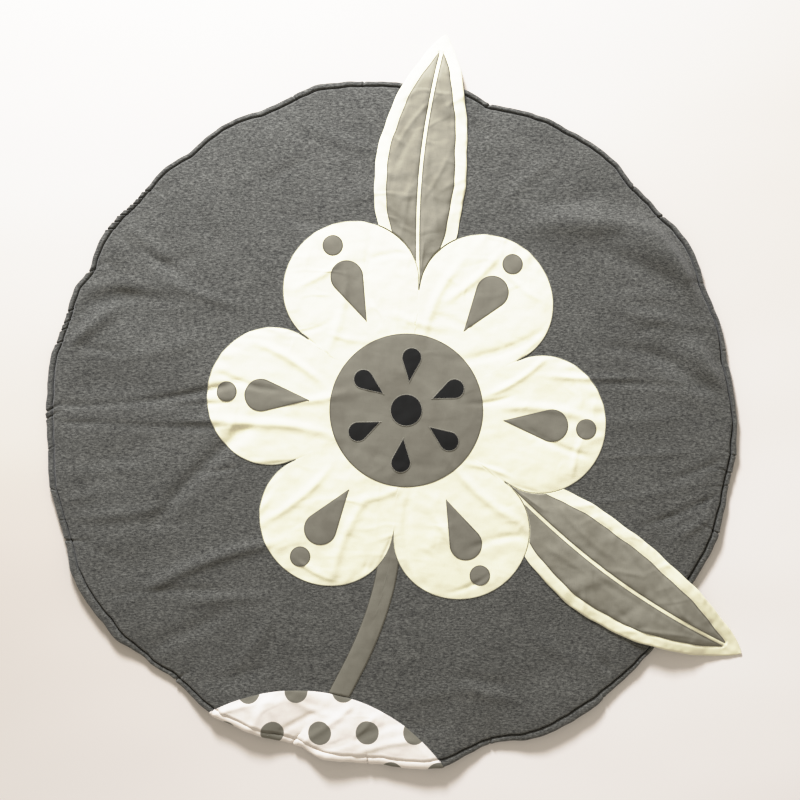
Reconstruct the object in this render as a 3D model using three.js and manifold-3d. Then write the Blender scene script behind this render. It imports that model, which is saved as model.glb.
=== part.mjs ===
// A round padded floor mat for a child's room, lying flat.
// Millimetres, +Z up, origin on the floor under the middle of the disc, +Y towards the top leaf.
// The disc is two layers of jersey with wadding between them, turned through and topstitched
// just inside its rim, so that the rim stands up as a soft roll outside a sewn channel.
// Flat panels are sewn on it: a six-petalled blossom with its centre, marks and seeds, a stem,
// and a spotted hill that reaches over the rim. Two padded leaves are caught under the blossom,
// lie over the disc and reach past its rim, down to the floor.
import * as THREE from 'three';
import { mergeVertices } from 'three/addons/utils/BufferGeometryUtils.js';
import Module from 'manifold-3d';

const wasm = await Module();
wasm.setup();

// Driving sizes of the disc and of the cloth that is sewn on it
const disc = {
  radius: 450,
  thickness: 12,
  steps: 144,
  liftInset: 80,
  middleInset: 215,
  middleShares: [0.5],
};
const sewn = { gap: 0.3, panel: 1.2, trim: 1 };

// The rim's crests and notches: how far each reaches past the disc's radius, how wide the roll is,
// and how high the underside lifts
const rimRows = [
  { at: 0, reach: 4, roll: 5.5, lift: 2 },
  { at: 11, reach: 0, roll: 7, lift: 0.5 },
  { at: 17, reach: 2, roll: 5, lift: 1.5 },
  { at: 22, reach: 0, roll: 6, lift: 0.5 },
  { at: 31, reach: 7, roll: 6.5, lift: 4 },
  { at: 40, reach: -1, roll: 5.5, lift: 0.5 },
  { at: 44, reach: -2, roll: 6, lift: 0.5 },
  { at: 51, reach: 4, roll: 6, lift: 2.5 },
  { at: 62, reach: 1, roll: 6, lift: 1 },
  { at: 73, reach: -9, roll: 6, lift: 0 },
  { at: 78, reach: 0, roll: 7, lift: 2 },
  { at: 84, reach: -6, roll: 6.5, lift: 0 },
  { at: 92, reach: 0, roll: 6, lift: 2 },
  { at: 102, reach: 5, roll: 7.5, lift: 3 },
  { at: 111, reach: -4, roll: 7, lift: 0 },
  { at: 119, reach: 0, roll: 6, lift: 2 },
  { at: 127, reach: -5, roll: 6, lift: 0 },
  { at: 132, reach: -1, roll: 6, lift: 1.5 },
  { at: 137, reach: -4, roll: 5.5, lift: 0 },
  { at: 147, reach: 2.5, roll: 6.5, lift: 3 },
  { at: 153, reach: -4, roll: 5.5, lift: 0 },
  { at: 157, reach: 2, roll: 5.5, lift: 2 },
  { at: 163, reach: 0, roll: 5, lift: 0.5 },
  { at: 169, reach: 5, roll: 6.5, lift: 3 },
  { at: 178, reach: 3.5, roll: 6, lift: 1 },
  { at: 184, reach: 2, roll: 6, lift: 0 },
  { at: 189, reach: 5, roll: 7.5, lift: 2.5 },
  { at: 198, reach: 4, roll: 8, lift: 1 },
  { at: 207, reach: 13, roll: 12, lift: 6 },
  { at: 217, reach: 8.5, roll: 12, lift: 5.5 },
  { at: 224, reach: -4, roll: 5.5, lift: 1 },
  { at: 230, reach: -9.5, roll: 6.5, lift: 0 },
  { at: 238, reach: -4, roll: 8, lift: 5.5 },
  { at: 246, reach: -8, roll: 7.5, lift: 7 },
  { at: 253, reach: -12, roll: 8, lift: 0 },
  { at: 259, reach: -4.5, roll: 9, lift: 8 },
  { at: 266, reach: -5.5, roll: 9, lift: 4 },
  { at: 278, reach: 3, roll: 10, lift: 8.5 },
  { at: 287, reach: -9.5, roll: 7, lift: 0 },
  { at: 297, reach: 5, roll: 10, lift: 7 },
  { at: 304, reach: 7, roll: 11.5, lift: 6 },
  { at: 311, reach: 4.5, roll: 7, lift: 1 },
  { at: 318, reach: 3.5, roll: 5, lift: 2.5 },
  { at: 328, reach: -4, roll: 8, lift: 0.5 },
  { at: 341, reach: 3.5, roll: 7.5, lift: 4 },
  { at: 349, reach: 1, roll: 4.5, lift: 1 },
  { at: 356, reach: 4.5, roll: 7, lift: 3 },
  { at: 360, reach: 4, roll: 5.5, lift: 2 },
];

// The disc's section, from its rim inwards, in shares of the roll's width and in insets past it:
// the roll, the sewn channel, the padded shoulder and the flat
const topRows = [
  { roll: 0, inset: 0, height: 4 },
  { roll: 0.12, inset: 0, height: 6.3 },
  { roll: 0.36, inset: 0, height: 7.8 },
  { roll: 0.62, inset: 0, height: 7.8 },
  { roll: 0.84, inset: 0, height: 6.6 },
  { roll: 1, inset: 0, height: 4.8 },
  { roll: 1, inset: 1.6, height: 6.3 },
  { roll: 1, inset: 5, height: 8.2 },
  { roll: 1, inset: 12, height: 10 },
  { roll: 1, inset: 24, height: 11.2 },
  { roll: 1, inset: 43, height: 11.8 },
  { roll: 0, inset: disc.liftInset, height: disc.thickness },
  { roll: 0, inset: 110, height: disc.thickness },
  { roll: 0, inset: 142, height: disc.thickness },
  { roll: 0, inset: 176, height: disc.thickness },
  { roll: 0, inset: disc.middleInset, height: disc.thickness },
];
const undersideRows = [
  { roll: 0, inset: disc.middleInset, height: 0 },
  { roll: 0, inset: disc.liftInset, height: 0 },
  { roll: 0, inset: 40, height: 0 },
  { roll: 0, inset: 14, height: 0 },
  { roll: 0.6, inset: 0, height: 0.3 },
  { roll: 0.16, inset: 0, height: 1.8 },
];

// Soft troughs that run in from the rim: where they start and end, and how far they turn on the way
const troughs = [
  { at: 160, turn: -9, from: 16, to: 215, width: 24, depth: 3.6 },
  { at: 173, turn: -2, from: 30, to: 190, width: 20, depth: 2.6 },
  { at: 189, turn: -6, from: 20, to: 200, width: 26, depth: 3.2 },
  { at: 141, turn: 5, from: 16, to: 130, width: 18, depth: 2 },
  { at: 207, turn: 4, from: 16, to: 150, width: 20, depth: 2.4 },
  { at: 38, turn: 4, from: 16, to: 120, width: 17, depth: 2.2 },
  { at: 17, turn: -3, from: 16, to: 135, width: 19, depth: 2.6 },
  { at: 0, turn: 5, from: 16, to: 110, width: 17, depth: 2 },
];

// The blossom and what is sewn on it
const blossom = { x: 20, y: 18, petals: 6, turn: 54, tip: 262, notch: 158, roundness: 0.5 };
const centreRadius = 100;
const petalDrop = { from: 128, length: 84, width: 42 };
const petalDot = { from: 236, radius: 13 };
const seed = { from: 36, length: 46, width: 26 };
const buttonRadius = 21;

// The hill at the rim, and the stem from the blossom down to it
const hill = {
  x: -125,
  y: -588,
  radius: 240,
  fromAngle: 230,
  toAngle: 285,
  innerInset: 125,
  meanRoll: 8.5,
};
const stem = { width: 26, steps: 12, route: [[2, -140], [-10, -215], [-36, -290], [-82, -380]] };

// The padded leaves, each from its root under the blossom to its tip. They are thin where the
// blossom's edge catches them and padded from there on.
const leaf = {
  edge: 2.4,
  crown: 5,
  seam: 1.4,
  paddedBy: 55,
  border: 16,
  rib: 5,
  narrowest: 1.5,
  steps: 30,
};
const leafAcross = [-1, -0.94, -0.74, -0.4, 0, 0.4, 0.74, 0.94, 1];
const leaves = [
  { name: 'top_leaf', turn: 84, from: 150, to: 497, half: 60, bend: -14, landing: 58 },
  { name: 'side_leaf', turn: 324, from: 150, to: 545, half: 63, bend: 18, landing: 92 },
];
// The height of a leaf's underside, by how far past the rim it is
const drape = {
  onMat: disc.thickness + 0.4,
  onFloor: 0.4,
  rise: 1,
  riseFrom: -50,
  riseTo: -8,
  fallFrom: 3,
};

const cloths = {
  jersey: { color: 0x6a6b67, roughness: 0.95, metalness: 0 },
  cream: { color: 0xf6f3e2, roughness: 0.9, metalness: 0 },
  white: { color: 0xf3eeec, roughness: 0.9, metalness: 0 },
  taupe: { color: 0x8a8678, roughness: 0.9, metalness: 0 },
  black: { color: 0x1c1c1b, roughness: 0.85, metalness: 0 },
};

const { degToRad, radToDeg, lerp, smoothstep } = THREE.MathUtils;
const pointAt = (degrees, reach) => [
  reach * Math.cos(degToRad(degrees)),
  reach * Math.sin(degToRad(degrees)),
];

// The rim, eased from row to row of its table
function rimAt(degrees, column) {
  const place = (degrees + 360) % 360;
  const after = rimRows.findIndex((row) => row.at > place);
  const low = rimRows[after - 1];
  const high = rimRows[after];
  return lerp(low[column], high[column], smoothstep(place, low.at, high.at));
}

// How far the disc is lifted off the floor, at an inset from its rim
const liftAt = (degrees, inset) => rimAt(degrees, 'lift') * (1 - smoothstep(inset, 0, disc.liftInset));

// How deep the troughs are at a point of the top, fading at their ends and sides
function dipAt(degrees, inset) {
  return troughs.reduce((sum, trough) => {
    const along = (inset - trough.from) / (trough.to - trough.from);
    if (along <= 0 || along >= 1) return sum;
    const across = (((degrees - trough.at - trough.turn * along + 540) % 360) - 180) * (Math.PI / 180);
    const aside = (across * (disc.radius - inset)) / trough.width;
    return sum + trough.depth * Math.sin(Math.PI * along ** 0.7) * Math.exp(-(aside ** 2));
  }, 0);
}

// A point of the disc's section, given by its row and an offset square to the cloth there
function discPoint(degrees, { roll, inset, height }, offset = { inset: 0, height: 0 }) {
  const rim = disc.radius + rimAt(degrees, 'reach');
  const fromRim = roll * rimAt(degrees, 'roll') + inset;
  const dip = height > disc.thickness / 2 ? dipAt(degrees, fromRim) : 0;
  const raised = height + liftAt(degrees, fromRim) - dip + offset.height;
  return [...pointAt(degrees, rim - fromRim - offset.inset), raised];
}

// A point of the flat middle of the disc, at a share of the way out to its sections
const middlePoint = (degrees, share, height) => {
  const reach = disc.radius + rimAt(degrees, 'reach') - disc.middleInset;
  return [...pointAt(degrees, share * reach), height];
};

function geometryOf(points, triangles) {
  const geometry = new THREE.BufferGeometry();
  geometry.setAttribute('position', new THREE.Float32BufferAttribute(points.flat(), 3));
  geometry.setIndex(triangles.flat());
  return geometry;
}

// The triangles between neighbouring rows of points, which are closed rings or open rows
function gridTriangles(rows, columns, closed, first) {
  const triangles = [];
  for (let row = 0; row < rows - 1; row += 1) {
    for (let column = 0; column < (closed ? columns : columns - 1); column += 1) {
      const here = first + row * columns + column;
      const beside = first + row * columns + ((column + 1) % columns);
      triangles.push([here, beside, beside + columns], [here, beside + columns, here + columns]);
    }
  }
  return triangles;
}

// A closed sheet between two grids of points that face each other
function slab(lower, upper) {
  const rows = lower.length;
  const columns = lower[0].length;
  const count = rows * columns;
  const triangles = gridTriangles(rows, columns, false, count);
  for (const [a, b, c] of gridTriangles(rows, columns, false, 0)) triangles.push([a, c, b]);
  const edge = [];
  for (let column = 0; column < columns - 1; column += 1) edge.push(column);
  for (let row = 0; row < rows - 1; row += 1) edge.push(row * columns + columns - 1);
  for (let column = columns - 1; column > 0; column -= 1) edge.push(count - columns + column);
  for (let row = rows - 1; row > 0; row -= 1) edge.push(row * columns);
  edge.forEach((here, place) => {
    const next = edge[(place + 1) % edge.length];
    triangles.push([here, next, next + count], [here, next + count, here + count]);
  });
  return geometryOf([...lower.flat(), ...upper.flat()], triangles);
}

function solidOf(geometry) {
  const bare = geometry.clone();
  bare.deleteAttribute('normal');
  bare.deleteAttribute('uv');
  const merged = mergeVertices(bare);
  const vertProperties = new Float32Array(merged.attributes.position.array);
  const triVerts = new Uint32Array(merged.index.array);
  return new wasm.Manifold(new wasm.Mesh({ numProp: 3, vertProperties, triVerts }));
}

function geometryOfSolid(solid) {
  const mesh = solid.getMesh();
  const geometry = new THREE.BufferGeometry();
  geometry.setAttribute('position', new THREE.Float32BufferAttribute(mesh.vertProperties, 3));
  geometry.setIndex(Array.from(mesh.triVerts));
  return geometry;
}

function prism(shape, low, high, curveSegments = 12) {
  const options = { depth: high - low, bevelEnabled: false, curveSegments };
  return new THREE.ExtrudeGeometry(shape, options).translate(0, 0, low);
}

// A prism that reaches well past a panel above and below, to cut one with
const cutter = (shape, segments) => solidOf(prism(shape, -20, 60, segments));

const part = new THREE.Group();

function addPiece(name, geometry, cloth) {
  const shaded = geometry.index ? geometry.toNonIndexed() : geometry;
  shaded.computeVertexNormals();
  const mesh = new THREE.Mesh(shaded, new THREE.MeshStandardMaterial(cloths[cloth]));
  mesh.name = name;
  part.add(mesh);
  return mesh;
}

// The padded disc: one skin of rings, from the middle of its underside round to that of its top
function discGeometry() {
  const middleRing = (height) => (share) => (degrees) => middlePoint(degrees, share, height);
  const rings = [
    ...disc.middleShares.map(middleRing(0)),
    ...[...undersideRows, ...topRows].map((row) => (degrees) => discPoint(degrees, row)),
    ...disc.middleShares.toReversed().map(middleRing(disc.thickness)),
  ];
  const points = [[0, 0, 0]];
  for (const ring of rings) {
    for (let step = 0; step < disc.steps; step += 1) points.push(ring((step * 360) / disc.steps));
  }
  points.push([0, 0, disc.thickness]);
  const triangles = gridTriangles(rings.length, disc.steps, true, 1);
  const lastRing = points.length - 1 - disc.steps;
  for (let step = 0; step < disc.steps; step += 1) {
    const next = (step + 1) % disc.steps;
    triangles.push([0, 1 + next, 1 + step]);
    triangles.push([points.length - 1, lastRing + step, lastRing + next]);
  }
  return geometryOf(points, triangles);
}

// How far the blossom reaches from its middle in a direction
function blossomReach(degrees) {
  const along = degToRad(((degrees - blossom.turn) * blossom.petals) / 2);
  return lerp(blossom.notch, blossom.tip, Math.abs(Math.cos(along)) ** blossom.roundness);
}

function blossomShape() {
  const steps = blossom.petals * 24;
  const outline = [];
  for (let step = 0; step < steps; step += 1) {
    const angle = blossom.turn + (step * 360) / steps;
    const [x, y] = pointAt(angle, blossomReach(angle));
    outline.push(new THREE.Vector2(blossom.x + x, blossom.y + y));
  }
  return new THREE.Shape(outline);
}

function discShape(x, y, radius) {
  const shape = new THREE.Shape();
  shape.absarc(x, y, radius, 0, Math.PI * 2);
  return shape;
}

// A drop with its point at the origin and its round end along +X
function dropShape({ length, width }) {
  const radius = width / 2;
  const middle = length - radius;
  const side = Math.PI / 2 + Math.asin(radius / middle);
  const shape = new THREE.Shape();
  shape.moveTo(0, 0);
  shape.lineTo(middle + radius * Math.cos(side), -radius * Math.sin(side));
  shape.absarc(middle, 0, radius, -side, side, false);
  return shape;
}

// A piece of cloth that lies on the blossom, drawn along +X and turned out from its middle
function addOnBlossom(name, shape, from, degrees, low, cloth) {
  const mesh = addPiece(name, prism(shape, 0, sewn.trim, 10), cloth);
  const [x, y] = pointAt(degrees, from);
  mesh.position.set(blossom.x + x, blossom.y + y, low);
  mesh.rotation.z = degToRad(degrees);
}

function addBlossom() {
  const onMat = disc.thickness + sewn.gap;
  const onPanel = onMat + sewn.panel + sewn.gap;
  const onCentre = onPanel + sewn.trim + sewn.gap;
  const dot = discShape(0, 0, petalDot.radius);
  addPiece('blossom', prism(blossomShape(), onMat, onMat + sewn.panel), 'cream');
  addOnBlossom('blossom_centre', discShape(0, 0, centreRadius), 0, 0, onPanel, 'taupe');
  addOnBlossom('seed_button', discShape(0, 0, buttonRadius), 0, 0, onCentre, 'black');
  for (let petal = 0; petal < blossom.petals; petal += 1) {
    const turn = blossom.turn + (petal * 360) / blossom.petals;
    const between = turn + 180 / blossom.petals;
    addOnBlossom(`petal_drop_${petal + 1}`, dropShape(petalDrop), petalDrop.from, turn, onPanel, 'taupe');
    addOnBlossom(`petal_dot_${petal + 1}`, dot, petalDot.from, turn, onPanel, 'taupe');
    addOnBlossom(`seed_${petal + 1}`, dropShape(seed), seed.from, between, onCentre, 'black');
  }
}

// The hill follows the shoulder, the sewn channel and the roll, a gap square to the cloth below it
function hillSurface(gap) {
  const outer = topRows.filter((row) => row.inset < hill.innerInset);
  const rows = [...outer, { roll: 0, inset: hill.innerInset, height: disc.thickness }];
  const insetOf = (row) => row.roll * hill.meanRoll + row.inset;
  return rows.map((row, place) => {
    const before = rows[Math.max(place - 1, 0)];
    const after = rows[Math.min(place + 1, rows.length - 1)];
    const along = new THREE.Vector2(insetOf(after) - insetOf(before), after.height - before.height);
    along.setLength(gap);
    const points = [];
    for (let angle = hill.fromAngle; angle <= hill.toAngle; angle += 360 / disc.steps) {
      points.push(discPoint(angle, row, { inset: -along.y, height: along.x }));
    }
    return points;
  });
}

function addHill() {
  const outline = discShape(hill.x, hill.y, hill.radius);
  const layer = solidOf(slab(hillSurface(sewn.gap), hillSurface(sewn.gap + sewn.panel)));
  addPiece('hill', geometryOfSolid(layer.intersect(cutter(outline, 90))), 'white');
}

function stemShape() {
  const route = new THREE.SplineCurve(stem.route.map(([x, y]) => new THREE.Vector2(x, y)));
  const left = [];
  const right = [];
  for (let step = 0; step <= stem.steps; step += 1) {
    const middle = route.getPoint(step / stem.steps);
    const along = route.getTangent(step / stem.steps);
    const side = new THREE.Vector2(-along.y, along.x).multiplyScalar(stem.width / 2);
    left.push(middle.clone().sub(side));
    right.unshift(middle.clone().add(side));
  }
  return new THREE.Shape([...left, ...right]);
}

// The blossom's outline a little larger, to trim what is caught under its edge
function blossomTrim() {
  const grow = 1 + sewn.gap / blossom.notch;
  const grown = solidOf(prism(blossomShape(), -20, 60).translate(-blossom.x, -blossom.y, 0));
  return grown.scale([grow, grow, 1]).translate([blossom.x, blossom.y, 0]);
}

function addStem(trim) {
  const low = disc.thickness + sewn.gap;
  const strip = solidOf(prism(stemShape(), low, low + sewn.panel));
  const hillTrim = cutter(discShape(hill.x, hill.y, hill.radius + sewn.gap), 90);
  addPiece('stem', geometryOfSolid(strip.subtract(trim).subtract(hillTrim)), 'taupe');
}

function leafHalf(piece, share) {
  const swell = Math.sin(Math.PI * share ** 0.87);
  return Math.max(piece.half * Math.max(swell, 0) ** 0.7, leaf.narrowest);
}

// How far a leaf is padded, from nothing at the blossom's edge to its full thickness
function leafFill(x, y) {
  const angle = radToDeg(Math.atan2(y - blossom.y, x - blossom.x));
  const past = Math.hypot(x - blossom.x, y - blossom.y) - blossomReach(angle);
  return smoothstep(past, 0, leaf.paddedBy);
}

// A point of a leaf seen from above: a share of the way along it, and an offset to its right
function leafPoint(piece, share, offset) {
  const [alongX, alongY] = pointAt(piece.turn, 1);
  const reach = lerp(piece.from, piece.to, share);
  const aside = offset + piece.bend * Math.sin(Math.PI * share);
  return [blossom.x + alongX * reach + alongY * aside, blossom.y + alongY * reach - alongX * aside];
}

function leafUnderside(piece, x, y) {
  const angle = radToDeg(Math.atan2(y, x));
  const past = Math.hypot(x, y) - disc.radius - rimAt(angle, 'reach');
  const rise = drape.rise * smoothstep(past, drape.riseFrom, drape.riseTo);
  const overRim = drape.onMat + liftAt(angle, -past) + rise;
  return lerp(overRim, drape.onFloor, smoothstep(past, drape.fallFrom, piece.landing));
}

// The leaf's underside, or its crowned top with a gap above it, in rows that close up at its ends
function leafSurface(piece, top, gap = 0) {
  const rows = [];
  for (let step = 0; step <= leaf.steps; step += 1) {
    const share = (1 - Math.cos((Math.PI * step) / leaf.steps)) / 2;
    const half = leafHalf(piece, share);
    rows.push(leafAcross.map((across) => {
      const [x, y] = leafPoint(piece, share, across * half);
      const crown = leaf.crown * (half / piece.half) * Math.sqrt(1 - across ** 2);
      const thickness = lerp(leaf.seam, leaf.edge + crown, leafFill(x, y));
      return [x, y, leafUnderside(piece, x, y) + (top ? thickness + gap : 0)];
    }));
  }
  return rows;
}

// One half of the inlaid cloth, between the leaf's border and its middle rib
function inlayShape(piece, side) {
  const ribEdge = [];
  const borderEdge = [];
  for (let step = 0; step <= leaf.steps * 2; step += 1) {
    const share = step / leaf.steps / 2;
    const reach = leafHalf(piece, share) - leaf.border;
    if (reach < leaf.rib / 2 + 1) continue;
    ribEdge.push(new THREE.Vector2(...leafPoint(piece, share, (side * leaf.rib) / 2)));
    borderEdge.unshift(new THREE.Vector2(...leafPoint(piece, share, side * reach)));
  }
  return new THREE.Shape([...ribEdge, ...borderEdge]);
}

function addLeaf(piece, trim) {
  const body = solidOf(slab(leafSurface(piece, false), leafSurface(piece, true)));
  addPiece(piece.name, geometryOfSolid(body.subtract(trim)), 'cream');
  const low = leafSurface(piece, true, sewn.gap);
  const layer = solidOf(slab(low, leafSurface(piece, true, sewn.gap + sewn.trim)));
  for (const [side, word] of [[-1, 'left'], [1, 'right']]) {
    const inlay = layer.intersect(cutter(inlayShape(piece, side))).subtract(trim);
    addPiece(`${piece.name}_inlay_${word}`, geometryOfSolid(inlay), 'taupe');
  }
}

addPiece('mat', discGeometry(), 'jersey');
addBlossom();
addHill();
const trim = blossomTrim();
addStem(trim);
for (const piece of leaves) addLeaf(piece, trim);

export default part;
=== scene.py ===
# A round padded floor mat with sewn panels and padded leaves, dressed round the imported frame.
# The shapes are worked out in millimetres, as the mat's maker would measure them, and the
# meshes are in metres.
import math

import bmesh
import bpy
import numpy as np
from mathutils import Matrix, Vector


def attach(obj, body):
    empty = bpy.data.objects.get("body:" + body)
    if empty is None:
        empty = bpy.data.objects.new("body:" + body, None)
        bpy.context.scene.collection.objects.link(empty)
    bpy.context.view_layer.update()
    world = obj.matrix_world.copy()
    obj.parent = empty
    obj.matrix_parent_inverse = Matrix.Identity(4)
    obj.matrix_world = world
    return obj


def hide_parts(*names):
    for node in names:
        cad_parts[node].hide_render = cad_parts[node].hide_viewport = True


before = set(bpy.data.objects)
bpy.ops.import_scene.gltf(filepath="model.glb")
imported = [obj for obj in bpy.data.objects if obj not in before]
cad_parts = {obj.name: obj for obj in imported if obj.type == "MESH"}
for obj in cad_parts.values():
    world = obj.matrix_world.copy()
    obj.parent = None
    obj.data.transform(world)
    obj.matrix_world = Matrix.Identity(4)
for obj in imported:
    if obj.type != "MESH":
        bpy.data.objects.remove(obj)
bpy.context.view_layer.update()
millimetre = 0.001
bpy.ops.object.select_all(action="DESELECT")
print("frame loaded,", len(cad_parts), "nodes")


# The round mat and its rim

mat = {
    "radius": 450,
    "thickness": 13,
    "liftInset": 80,       # the rim's lift has faded out this far in
    "side": 4,             # height of the rim's outermost line
    "rollRise": 3.5,       # how far the roll stands above its sides
    "channel": 4.8,        # height of the sewn channel
    "nearShoulder": (4.4, 1.7),    # the padding rises fast beside the stitches, then slowly:
    "farShoulder": (3.8, 26),      # each is how far it rises, and over what width
    "grooveDepth": 3.2,    # the stitches pull the channel down further, in a narrow line
    "grooveWidth": 1.25,
    "tightest": (0.35, 12),        # on one side the stitches pull harder: by what share, where
    "lip": (0.6, 3.2, 1.6),        # the padding's swell inside the stitches: height, place, width
    "leastThickness": 0.5,
    "rollUnder": 0.6,      # share of the roll's width that is turned under
    "rimSteps": 1600,
    "flatSteps": 800,
    "middleSteps": 400,
    "ringSpacing": 5.5,
    "innermostInset": 292,
    "middleRadius": 130,
    "middleSpacing": 9,
}

# The rim's crests and notches: angle, reach past the radius, width of the roll, and lift off
# the floor
rimColumns = ("at", "reach", "roll", "lift")
rimRows = (
    (0, 4, 5.5, 2), (11, 0, 7, 0.5), (17, 2, 5, 1.5), (22, 0, 6, 0.5), (31, 7, 6.5, 4),
    (40, -1, 5.5, 0.5), (44, -2, 6, 0.5), (51, 4, 6, 2.5), (62, 1, 6, 1), (73, -9, 6, 0),
    (78, 0, 7, 2), (84, -6, 6.5, 0), (92, 0, 6, 2), (102, 5, 7.5, 3), (111, -4, 7, 0),
    (119, 0, 6, 2), (127, -5, 6, 0), (132, -1, 6, 1.5), (137, -4, 5.5, 0), (147, 2.5, 7.5, 3),
    (153, -4, 6.5, 0), (157, 2, 7, 2), (163, 0, 6.5, 0.5), (169, 5, 7.8, 3), (178, 3.5, 8.5, 1),
    (184, 2, 7.8, 0), (189, 5, 8, 2.5), (198, 4, 8, 1), (207, 13, 12, 6), (217, 8.5, 12, 5.5),
    (224, -4, 5.5, 1), (230, -9.5, 6.5, 0), (238, -4, 8, 7.5), (246, -8, 7.5, 9.5),
    (253, -12, 8, 1), (259, -4.5, 9, 9.5), (266, -5.5, 9, 4), (278, 3, 10, 8.5),
    (287, -9.5, 7, 0), (297, 5, 10, 7), (304, 7, 11.5, 6), (311, 4.5, 7, 1), (318, 3.5, 5, 2.5),
    (328, -4, 8.5, 0.5), (341, 3.5, 9, 4), (349, 1, 6.8, 1), (356, 4.5, 7.5, 3),
    (360, 4, 5.5, 2),
)
rim = dict(zip(rimColumns, np.array(rimRows, float).T))

# Soft troughs that run in from the rim
troughColumns = ("at", "turn", "from", "to", "width", "depth")
troughRows = (
    (160, -9, 16, 215, 24, 3.6),
    (173, -2, 30, 190, 20, 2.6),
    (189, -6, 20, 200, 26, 3.2),
    (141, 5, 16, 130, 18, 2),
    (207, 4, 16, 150, 20, 2.4),
    (38, 4, 16, 120, 17, 2.2),
    (17, -3, 16, 135, 19, 2.6),
    (0, 5, 16, 110, 17, 2),
)

# Pleats pressed across the roll: angle, how many degrees they slant on the way over it, half
# width and depth in millimetres, and how far they run on into the padding
pleatColumns = ("at", "slant", "width", "depth", "into")
pleatRows = (
    (37.5, 0.4, 1.6, 1.6, 26), (44.3, -0.3, 1.5, 1.3, 18), (73, 0.5, 1.8, 1.5, 20),
    (84.2, -0.6, 1.6, 1.6, 24), (94.6, 0.3, 1.4, 1.2, 14), (106.5, -0.4, 1.4, 1, 12),
    (136.4, -0.7, 1.6, 2, 30), (138, -0.9, 1.1, 2.2, 6), (139.3, -0.8, 1.2, 2.6, 6),
    (140.7, -0.9, 1.1, 2.5, 4), (142.1, -0.9, 1.2, 2.7, 8), (143.6, -0.8, 1.1, 2.2, 5),
    (145.2, -0.8, 1.2, 2.6, 9), (152.9, -1, 1.9, 2.4, 40), (160.6, -0.8, 1.2, 2.3, 8),
    (162.6, -1, 1.3, 1.7, 30), (163.9, -0.8, 1.1, 2.1, 5), (166.2, -0.7, 1.2, 1.8, 16),
    (177.7, -0.6, 1.6, 2.1, 34), (178.9, -0.6, 1.2, 1.5, 20), (184.1, -0.5, 1.1, 0.7, 16),
    (191, 0.4, 1.1, 0.7, 8), (196.3, 0.3, 1.1, 0.7, 8), (199.8, 0.5, 1.8, 1.8, 40),
    (230, 0.3, 1.7, 1.7, 26), (253, 0.4, 2, 1.4, 60), (266, -0.3, 2.2, 0.9, 34),
    (287.4, 0.5, 1.8, 0.9, 24), (308, 0.3, 1.3, 0.8, 8), (327.8, -0.4, 1.7, 1.7, 20),
    (341.6, 0.2, 1.2, 1.6, 26), (349.6, -0.3, 1.2, 1.2, 22), (351.8, 0.2, 1.1, 1.5, 34),
    (354.8, 0.3, 1, 1.2, 20), (12.4, 0.3, 1.3, 0.45, 18), (19.6, -0.2, 1.1, 0.35, 12),
    (24.4, 0.4, 1.4, 0.5, 30),
)


def namedRows(columns, rows):
    return [dict(zip(columns, row)) for row in rows]


troughs = namedRows(troughColumns, troughRows)
pleats = namedRows(pleatColumns, pleatRows)


def easeStep(value, low, high):
    share = np.clip((value - low) / (high - low), 0, 1)
    return share * share * (3 - 2 * share)


def rimAt(degrees, column):
    place = np.mod(degrees, 360)
    after = np.searchsorted(rim["at"], place, side="right")
    share = (place - rim["at"][after - 1]) / (rim["at"][after] - rim["at"][after - 1])
    low = rim[column][after - 1]
    return low + (rim[column][after] - low) * share * share * (3 - 2 * share)


def degreesFrom(degrees, centre):
    return np.mod(degrees - centre + 540, 360) - 180


def liftAt(degrees, inset):
    return rimAt(degrees, "lift") * (1 - easeStep(inset, 0, mat["liftInset"]))


def dipAt(degrees, inset):
    total = np.zeros(np.broadcast(degrees, inset).shape)
    for trough in troughs:
        along = np.clip((inset - trough["from"]) / (trough["to"] - trough["from"]), 0, 1)
        across = degreesFrom(degrees, trough["at"] + trough["turn"] * along)
        aside = np.radians(across) * (mat["radius"] - inset) / trough["width"]
        total += trough["depth"] * np.sin(np.pi * along ** 0.7) * np.exp(-aside ** 2)
    return total


# How deep the rim's pleats are at an inset, from the outermost line to well inside the channel.
# Each is a valley with a low swell at one side of it, and widens as it runs in.
def pleatAt(degrees, inset, roll):
    total = np.zeros(np.broadcast(degrees, inset).shape)
    for pleat in pleats:
        along = np.clip(inset / roll, 0, 3)
        aside = np.radians(degreesFrom(degrees, pleat["at"] + pleat["slant"] * (along - 0.5)))
        fade = np.exp(-np.clip(inset - roll, 0, None) / (pleat["into"] * 0.5))
        width = pleat["width"] * 0.9 * (1 + np.clip(inset - roll, 0, 60) / 10)
        across = aside * mat["radius"] / width
        bell = np.exp(-across ** 2) - 0.28 * np.exp(-((across - 2.1) / 1.4) ** 2)
        total += pleat["depth"] * (1.8 - 0.6 * easeStep(inset - roll, 0, 2)) * fade * bell
    return total


# Smooth unevenness from sums of waves, with each wave's direction and phase from its number
def ripple(x, y, length, waves=7):
    total = np.zeros(np.broadcast(x, y).shape)
    for wave in range(waves):
        turn = 2.399963 * wave + 0.4
        pitch = length * (0.72 + 0.61 * ((wave * 0.618034) % 1))
        phase = 1.7 * wave * wave + 0.3 * length
        total += np.sin((x * np.cos(turn) + y * np.sin(turn)) * 2 * np.pi / pitch + phase)
    return total / math.sqrt(waves)


# Creases and soft folds, given one by one: place, heading, length, half width, height and bow
creaseColumns = ("x", "y", "heading", "length", "width", "height", "bow")


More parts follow.
